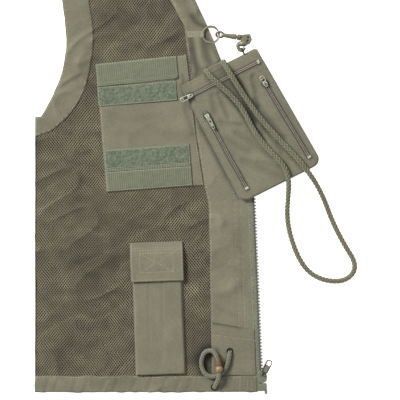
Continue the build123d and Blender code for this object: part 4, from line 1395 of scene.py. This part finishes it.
def make_pouch_tab():
    """The fold of cloth over the pouch's top edge, between the two ends of its cord."""
    corners = [pouch_point(*p) for p in ((32.5, 5.0), (64.5, 5.0), (64.5, -4.8), (32.5, -4.8))]

    def height(u, v, long, wide):
        at_side = np.minimum(u, long - u)
        z = POUCH_FACE + 0.3 * soft_noise(u, v, 9, 92) - 0.9 * (1 - smooth(v, 0, 2.5))
        z = z - 2.2 * fade(wide - v, 1.1) - 1.0 * fade(at_side, 0.9)
        # Painted shade: the whole tab a little darker, more towards its ends where the cord comes out, and
        # in a band near its far edge.
        shade = 0.16 + 0.28 * fade(at_side, 3.4) + 0.2 * smooth(v, 5, 9) * (1 - smooth(v, 9, 9.9))
        return z, 1 - shade + 0.12 * soft_noise(u * 1.6, v, 12, 93)

    strip("pouch_tab_cloth", corners, (0.8, 0.7), height, "pouch", "shell", "shell_fabric", 2.4,
          ["pouch_top_tab"])


def coil_zip(name):
    """A pouch zip: woven tape and two rows of coil."""
    start, end = [np.array(p) for p in zip_lines()[name]]
    long = math.dist(start, end)
    along = (end - start) / long
    side = np.array([-along[1], along[0]])
    base = POUCH_FACE + 0.28
    first, last = start - along * 3, end + along * 3
    corners = [first - side * 3.5, last - side * 3.5, last + side * 3.5, first + side * 3.5]

    def height(u, v, length, wide):
        beside = np.abs(v - wide / 2)
        # Painted shade in the gap between the coil's two rows and along its outer sides.
        dark = 0.95 * fade(beside - 2.35, 0.75) + 0.9 * fade(beside, 0.5)
        return base + 0.05 * np.sin(v * 5.0), 1.05 + 0.08 * np.sin(v * 5.0) - dark

    node = f"pouch_{name}_zip"
    strip(node + "_tape", corners, (3.0, 0.42), height, "pouch", "coil_tape", "zip_tape", 0.3, [node])
    s = np.arange(0, long, 0.09)
    rows = []
    for row, phase in ((-COIL_ROW, 0.0), (COIL_ROW, math.pi)):
        turn = s * 2 * math.pi / COIL_PITCH + phase
        flat = start + s[:, None] * along + (row + 0.55 * np.cos(turn))[:, None] * side
        rows.append(tube(np.column_stack([flat, base + 0.42 + 0.30 * np.sin(turn)]), 0.24, 5))
    make_object(node + "_coil", *join(rows), "pouch", "coil", "coil")


# ---- sliders, pulls and the hook, built in their own frames ----
class Place:
    """A frame on the object: a along it, b across it, c above a level."""

    def __init__(self, at, degrees, level):
        self.at, self.turn, self.level = at, math.radians(degrees), level

    def __call__(self, a, b, c):
        x = self.at[0] + a * math.cos(self.turn) - b * math.sin(self.turn)
        y = self.at[1] + a * math.sin(self.turn) + b * math.cos(self.turn)
        return (x, y, self.level + c)

    def moved(self, a, b, degrees=0.0, up=0.0):
        x, y, z = self(a, b, up)
        return Place((x, y), math.degrees(self.turn) + degrees, z)


def plate(name, place, outline, low, high, look, width=0.3, replaces=()):
    """A flat cast shape with rounded edges.

    outline is (a, b), anticlockwise, and look is (body, material, slot).
    """
    body, material, slot = look
    count = len(outline)
    points = [place(a, b, level) for level in (low, high) for a, b in outline]
    faces = [tuple(reversed(range(count))), tuple(range(count, 2 * count))]
    faces += [(k, (k + 1) % count, count + (k + 1) % count, count + k) for k in range(count)]
    return rounding(make_object(name, points, faces, body, material, slot, replaces=replaces), width, 30)


def oval(a0, a1, half):
    """A rounded oblong from a0 to a1, anticlockwise."""
    radius = min(half, (a1 - a0) / 2) * 0.7
    corners = [(a1 - radius, -half + radius, -90), (a1 - radius, half - radius, 0),
               (a0 + radius, half - radius, 90), (a0 + radius, -half + radius, 180)]
    points = []
    for a, b, start in corners:
        for turn in np.radians(np.linspace(start, start + 90, 6)):
            points.append((a + radius * math.cos(turn), b + radius * math.sin(turn)))
    return points


def bar(name, place, line, radius, look, sides=8, closed=False, replaces=()):
    """A round bar along a line of (a, b, c). radius is one number or one for each point."""
    points, faces = tube([place(*p) for p in line], radius, sides, closed)
    body, material, slot = look
    make_object(name, points, faces, body, material, slot, replaces=replaces)


def turned_bar(name, place, profile, look, replaces=()):
    """A bar turned on a lathe. profile is (a, radius)."""
    bar(name, place, [(a, 0, 0) for a, _ in profile], [r for _, r in profile], look, 20, replaces=replaces)


def pull_tab(name, place, length, half, look, window, replaces, inner="sunken"):
    """A pull: a bright rim round a plate of painted shade, a neck, a window and a pin of painted shade. The
    front pull has a light plate in a rim, neck and bridge of painted shade.
    """
    body, _, slot = look
    rim = [(a, b, 0.3) for a, b in oval(PULL_NECK, length, half)]
    bar(name + "_rim", place, rim, 0.04 * length, look, closed=True, replaces=replaces)
    field = oval(PULL_NECK + 0.1, window, half - 0.1)
    plate(name + "_plate", place, field, 0.05, 0.42, (body, inner, slot), 0.1)
    bar(name + "_bridge", place, [(window, -half, 0.3), (window, half, 0.3)], 0.4, look)
    for suffix, side in (("_neck", -1), ("_neck2", 1)):
        bar(name + suffix, place, [(0.3, 0.75 * side, 0.3), (PULL_NECK + 0.5, 0.9 * side, 0.3)], 0.4, look)
    bar(name + "_pin", place, [(0, -2.3, 0.3), (0, 2.3, 0.3)], 0.56, (body, "sunken", slot))


def lugs(name, crown, foot, radius, look):
    """The two small arches over a slider that hold its pull."""
    for side, half in (("left", -1.75), ("right", 1.75)):
        line = [(-1.4, half, foot), (-1.1, half, 4.4), (0, half, 5.3), (1.1, half, 4.4), (1.4, half, foot)]
        bar(f"{name}_lug_{side}", crown, line, radius, look)
    return crown.moved(0, 0, up=4.3)


SLIDER_OUTLINE = [
    (-4.6, -3.8), (-3.2, -4.3), (0.6, -3.8), (4.5, -2.2), (4.5, 2.2), (0.6, 3.8), (-3.2, 4.3), (-4.6, 3.8),
]
PULL_NECK = 3.4               # from a pull's pin to its rim
POUCH_PULLS = {"top": (1.5, 180.0, 13.0), "left": (6.0, 0.0, 17.0), "right": (6.0, 180.0, 11.0)}


def make_pouch_slider(side):
    """A slider's body, its crown and its pull."""
    start, end = zip_lines()[side]
    lean = math.degrees(math.atan2(end[1] - start[1], end[0] - start[0]))
    at, pull_turn, length = POUCH_PULLS[side]
    place = Place(start, lean, POUCH_FACE).moved(at, 0)
    node = f"pouch_{side}_slider"
    bright = (node, "bright", "bright_metal")
    # The wings are painted shade, a dark outline round the slider's bright top.
    plate(node + "_wings", place, SLIDER_OUTLINE, 0.95, 1.75, (node, "sunken", "bright_metal"), 0.25, [node])
    plate(node + "_top", place, [(a * 0.82, b * 0.7) for a, b in SLIDER_OUTLINE], 1.7, 2.9, bright, 0.45)
    at_pin = lugs(node, place.moved(0, 0, pull_turn), 2.7, 0.5, bright)
    pull = f"pouch_{side}_pull"
    if side == "left":
        flat_pull(pull, at_pin, length)
    else:
        pull_tab(pull, at_pin, length, 2.5, (pull, "bright", "bright_metal"), length - 3.4, [pull])


def flat_pull(node, place, length):
    """A tapered plate with two punched holes, which are thin dark plates of painted shade."""
    far = length - 1.4
    outline = [(-1.4, -2.9), (far, -1.9), (length, -0.9), (length, 0.9), (far, 1.9), (-1.4, 2.9)]
    plate(node + "_plate", place, outline, -0.1, 0.8, (node, "pale", "bright_metal"), 0.3, [node])
    for hole, at in (("near", 5.6), ("far", length - 3.6)):
        plate(f"{node}_hole_{hole}", place, oval(at, at + 2.2, 1.05), 0.7, 0.86,
              (node, "blackened", "bright_metal"), 0.02)


FRONT_PULL_TURN = 60.0


def make_front_slider():
    """The front zip's painted slider and its pull with a window at the far end."""
    low, high = low_high("front_zip_tape")
    place = Place(ZIP_FOOT, math.degrees(ZIP_LEAN), (low.z + high.z) / 2)
    look = ("front_slider", "green", "painted_metal")
    outline = [(0.6, 13.4), (3.4, 11.3), (8.4, 11.3), (11.6, 13.6), (12.4, 18.5), (11.4, 24.6), (8.6, 26.6),
               (3.6, 26.6), (0.6, 24.4)]
    plate("front_slider_top", place, outline, 1.4, 3.0, look, 0.8, ["front_zip_slider"])
    plate("front_slider_foot", place, outline, -3.0, -1.4, look, 0.8)
    plate("front_slider_post", place, oval(8.6, 11.8, 3.0), -1.5, 1.5, look, 0.3)
    at_pin = lugs("front_slider", place.moved(7.1, 21.5, FRONT_PULL_TURN), 2.8, 0.55, look)
    # The front pull's rim, neck and bridge are painted shade, a dark outline round its light plate.
    look = ("front_pull", "sunken", "pull_metal")
    pull_tab("front_pull", at_pin, 20.0, 3.3, look, 13.0, ["front_zip_pull"], "pull")


HOOK_AT = (235.7, 445.9)
HOOK_LEAN = -8.2
HOOK_LOOP = (89.0, -9.6)      # its middle on the pouch, as (u, v)
EYE_SHAFT = [                 # along the swivel's shaft, and its radius there
    (-3.0, 1.2), (-2.2, 2.6), (1.0, 2.6), (6.0, 2.9), (12.0, 3.4), (15.2, 3.6), (16.2, 3.4), (16.6, 1.9),
    (16.7, 1.2), (22.0, 1.2),
]
COLLAR = [
    (16.9, 1.6), (17.0, 3.8), (17.4, 4.5), (18.0, 4.5), (18.4, 3.2), (18.9, 3.2), (19.3, 4.5), (20.3, 4.5),
    (20.8, 3.5), (22.6, 3.3),
]


def make_hook():
    """The swivel's eye and tapered shaft, and the hook's ringed collar, five-sided head, arm and loop."""
    place = Place(HOOK_AT, HOOK_LEAN, Z_TOP + 2.0)
    eye_look, look = [(body, "painted", "painted_metal") for body in ("hook_eye", "hook_body")]
    tilt = math.radians(48)
    eye = [(-4.6 + 4.6 * math.cos(t), 4.4 * math.sin(t) * math.sin(tilt), 4.0 * math.sin(t) * math.cos(tilt))
           for t in np.linspace(0, 2 * math.pi, 25)[:-1]]
    bar("hook_eye_loop", place, eye, 1.35, eye_look, closed=True, replaces=["snap_hook_eye"])
    turned_bar("hook_eye_shaft", place, EYE_SHAFT, eye_look)
    turned_bar("hook_collar", place, COLLAR, look, ["snap_hook_body"])
    head = [(21.5, -3.9), (26.5, -6.4), (33.5, -7.0), (36.2, -0.8), (32.6, 6.2), (24.6, 4.4), (21.5, 3.4)]
    plate("hook_head", place, head, -2.4, 2.9, look, 0.9)
    loop = Place(pouch_point(*HOOK_LOOP), POUCH_TURN, bottom_of("pouch_ring") + 5.5)
    turns = np.radians(np.linspace(36, 326, 36))
    ring = [((4.6 if math.cos(t) > 0 else 3.3) * math.cos(t), 4.6 * math.sin(t), 0) for t in turns]
    bar("hook_loop", loop, ring, 2.3, look)
    joint = math.radians(100)
    arm = [place(29.0, -4.6, 0.4), place(27.0, -7.0, 1.2),
           loop(4.6 * math.cos(joint), 4.6 * math.sin(joint), 0)]
    make_object("hook_arm", *tube(arm, [3.8, 3.9, 3.0], 12), *look)


# ---- cords ----
NECK_ROUTE = [
    (233.8, 412.4, 16.8), (235.2, 410.2, 24.2), (242.0, 399.6, 27.1), (253.3, 381.2, 24.8),
    (266.3, 362.0, 20.7), (283.0, 339.1, 20.7), (302.7, 317.6, 20.7), (321.5, 298.0, 20.7),
    (336.4, 280.9, 21.0), (350.4, 262.0, 15.0), (361.6, 241.0, 7.0), (369.4, 220.0, 2.9),
    (379.0, 199.0, 2.7), (390.8, 178.0, 2.7), (399.6, 164.2, 2.7), (400.6, 152.0, 2.7),
    (393.0, 142.0, 2.7), (379.0, 137.4, 2.7), (358.0, 140.4, 2.7), (339.6, 151.6, 2.7),
    (326.8, 173.0, 2.7), (318.0, 200.0, 2.7), (315.0, 222.0, 4.4), (316.4, 244.0, 12.6),
    (317.0, 264.0, 19.4), (312.3, 282.2, 20.8), (288.2, 305.9, 20.7), (271.8, 327.9, 20.7),
    (261.1, 350.5, 20.7), (248.6, 366.5, 22.4), (233.2, 380.1, 26.0), (220.8, 391.1, 27.1),
    (214.3, 399.7, 24.2), (212.9, 401.9, 16.8),
]
DRAW_ROUTE = [
    (224.0, 5.4, 11.9), (226.8, 12.2, 16.2), (231.2, 21.0, 19.8), (227.0, 51.5, 18.0), (212.6, 53.2, 15.2),
    (206.4, 37.4, 13.6), (212.0, 21.8, 13.4), (226.0, 18.2, 13.5), (237.8, 27.6, 13.8), (242.2, 40.0, 14.4),
    (243.6, 51.0, 12.6),
]


def cord_curve(node, body, route, diameter):
    """A cord's core, a smooth curve with the route's points as its control points, and points along it."""
    data = bpy.data.curves.new(node + "_core", "CURVE")
    data.dimensions = "3D"
    data.resolution_u = 16
    spline = data.splines.new("NURBS")
    spline.points.add(len(route) - 1)
    for point, place in zip(spline.points, route):
        point.co = (*to_frame(*place), 1.0)
    spline.order_u = 3
    spline.use_endpoint_u = True
    obj = bpy.data.objects.new(data.name, data)
    bpy.context.scene.collection.objects.link(obj)
    line = bpy.data.meshes.new_from_object(obj)
    points = np.array([v.co[:] for v in line.vertices])
    bpy.data.meshes.remove(line)
    data.bevel_depth = 0.42 * diameter * MM
    data.bevel_resolution = 3
    data.use_fill_caps = True
    data.materials.append(MATERIALS["cord"])
    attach(obj, body)
    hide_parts(node)
    return obj, (points - np.array([SIDE_X, HEM_Y, 0])) / MM


def evenly(points, step):
    """The same line with even steps."""
    run = np.concatenate([[0], np.cumsum(np.linalg.norm(np.diff(points, axis=0), axis=1))])
    at = np.linspace(0, run[-1], int(run[-1] / step) + 2)
    return np.column_stack([np.interp(at, run, points[:, k]) for k in range(3)]), at


def braid(name, points, diameter, pitch, body, material, grip, reach):
    """Eight strands, four each way round, that pass over and under each other.

    They stand out loosely past the cord's own diameter, but not within reach of the line called grip, where
    something squeezes them.
    """
    line, at = evenly(points, diameter * 0.16)
    normals, sideways = across_line(line)
    loose = 1 - np.exp(-(near_path(line[:, 0], line[:, 1], grip)[0] / reach) ** 4)
    diameter = diameter * (1 + (CORD_FLUFF - 1) * loose)
    parts, tones = [], []
    for way in (-1, 1):
        for k in range(4):
            turn = way * 2 * math.pi * at / pitch + k * math.pi / 2
            out = diameter * 0.335 + way * diameter * 0.05 * np.cos(8 * math.pi * at / pitch)
            outwards = normals * np.cos(turn)[:, None] + sideways * np.sin(turn)[:, None]
            parts.append(tube(line + out[:, None] * outwards, diameter * 0.165, 6))
            # The strands of one way are lighter than those of the other, and each strand is painted lighter
            # where it passes over and darker where it passes under.
            tones.append(np.repeat(1.0 + 0.10 * way + 2.6 * (out / diameter - 0.335), 6))
    return make_object(name, *join(parts), body, material, "cord", np.concatenate(tones))


def make_cords():
    """The pouch's neck cord and the hem's drawcord with its bead and barrel."""
    core, line = cord_curve("neck_cord", "pouch", NECK_ROUTE, NECK_CORD)
    line[:, 2] = np.maximum(line[:, 2], 0.5 * NECK_CORD * CORD_FLUFF)
    tab = [NECK_ROUTE[0][:2], NECK_ROUTE[-1][:2]]
    strands = braid("neck_cord_strands", line, NECK_CORD, 19.0, "pouch", "cord", tab, 9.0)
    core, line = cord_curve("drawcord", "vest", DRAW_ROUTE, DRAWCORD)
    bead = polished("drawcord_bead", "toggle", "bead")
    barrel = polished("drawcord_barrel", "toggle", "barrel", 0.5)
    toggles = [middle_of("drawcord_barrel"), middle_of("drawcord_bead")]
    strands = braid("drawcord_strands", line, DRAWCORD, 15.0, "vest", "drawcord", toggles, 6.0)


# ---- floor, light and camera ----
VIEW_CENTRE = (206.25, 240.0) # what the camera looks straight down at
VIEW_WIDTH = 500.0            # how much of the surface its picture spans
LENS = 135.0
SENSOR = 36.0
LIGHT_TINT = (1.0, 0.985, 0.92)
LIGHTS = [                    # name, place from the centre and size in metres, and watts
    ("key", (-2.4, 1.9, 2.5), 1.3, 300.0), ("fill", (1.2, -0.6, 1.8), 1.6, 11.0),
]


def make_stage():
    """A white floor, an even sky, one large soft light from the upper left and a weak one opposite."""
    centre = Vector(to_frame(*VIEW_CENTRE, 0))
    bpy.ops.mesh.primitive_plane_add(size=8, location=(centre.x, centre.y, -0.0004))
    floor = bpy.context.object
    floor.name = "floor"
    g = Graph("white_floor")
    white = g.finish((0.9, 0.9, 0.9, 1.0), 0.9, Emission_Color=(1, 1, 1, 1), Emission_Strength=0.7)
    floor.data.materials.append(white)
    world = bpy.data.worlds.new("studio")
    world.use_nodes = True
    background = world.node_tree.nodes["Background"]
    background.inputs["Color"].default_value = (*LIGHT_TINT, 1.0)
    background.inputs["Strength"].default_value = 0.5
    bpy.context.scene.world = world
    for name, place, size, watts in LIGHTS:
        data = bpy.data.lights.new(name, "AREA")
        data.size = size
        data.energy = watts
        data.color = LIGHT_TINT
        light = bpy.data.objects.new(name, data)
        light.location = centre + Vector(place)
        light.rotation_euler = (-Vector(place)).to_track_quat("-Z", "Y").to_euler()
        bpy.context.scene.collection.objects.link(light)
    data = bpy.data.cameras.new("camera")
    data.lens = LENS
    data.sensor_width = SENSOR
    camera = bpy.data.objects.new("camera", data)
    distance = VIEW_WIDTH * MM / 2 / (SENSOR / 2 / LENS)
    camera.location = (centre.x, centre.y, distance + Z_TOP * MM)
    camera.rotation_euler = (0, 0, 0)
    bpy.context.scene.collection.objects.link(camera)
    bpy.context.scene.camera = camera
    bpy.context.scene.view_settings.view_transform = "Standard"


make_stage()
make_cords()
make_layers()
make_facings()
make_tapes()
make_tool_pocket()
make_zip_hardware()
make_ring_and_dark_parts()
make_webbing()
make_pouch()
for side in POUCH_ZIPS:
    coil_zip(side)
    make_pouch_slider(side)
polished("pouch_ring", "pouch", "blackened", 0.1)
make_front_slider()
make_hook()
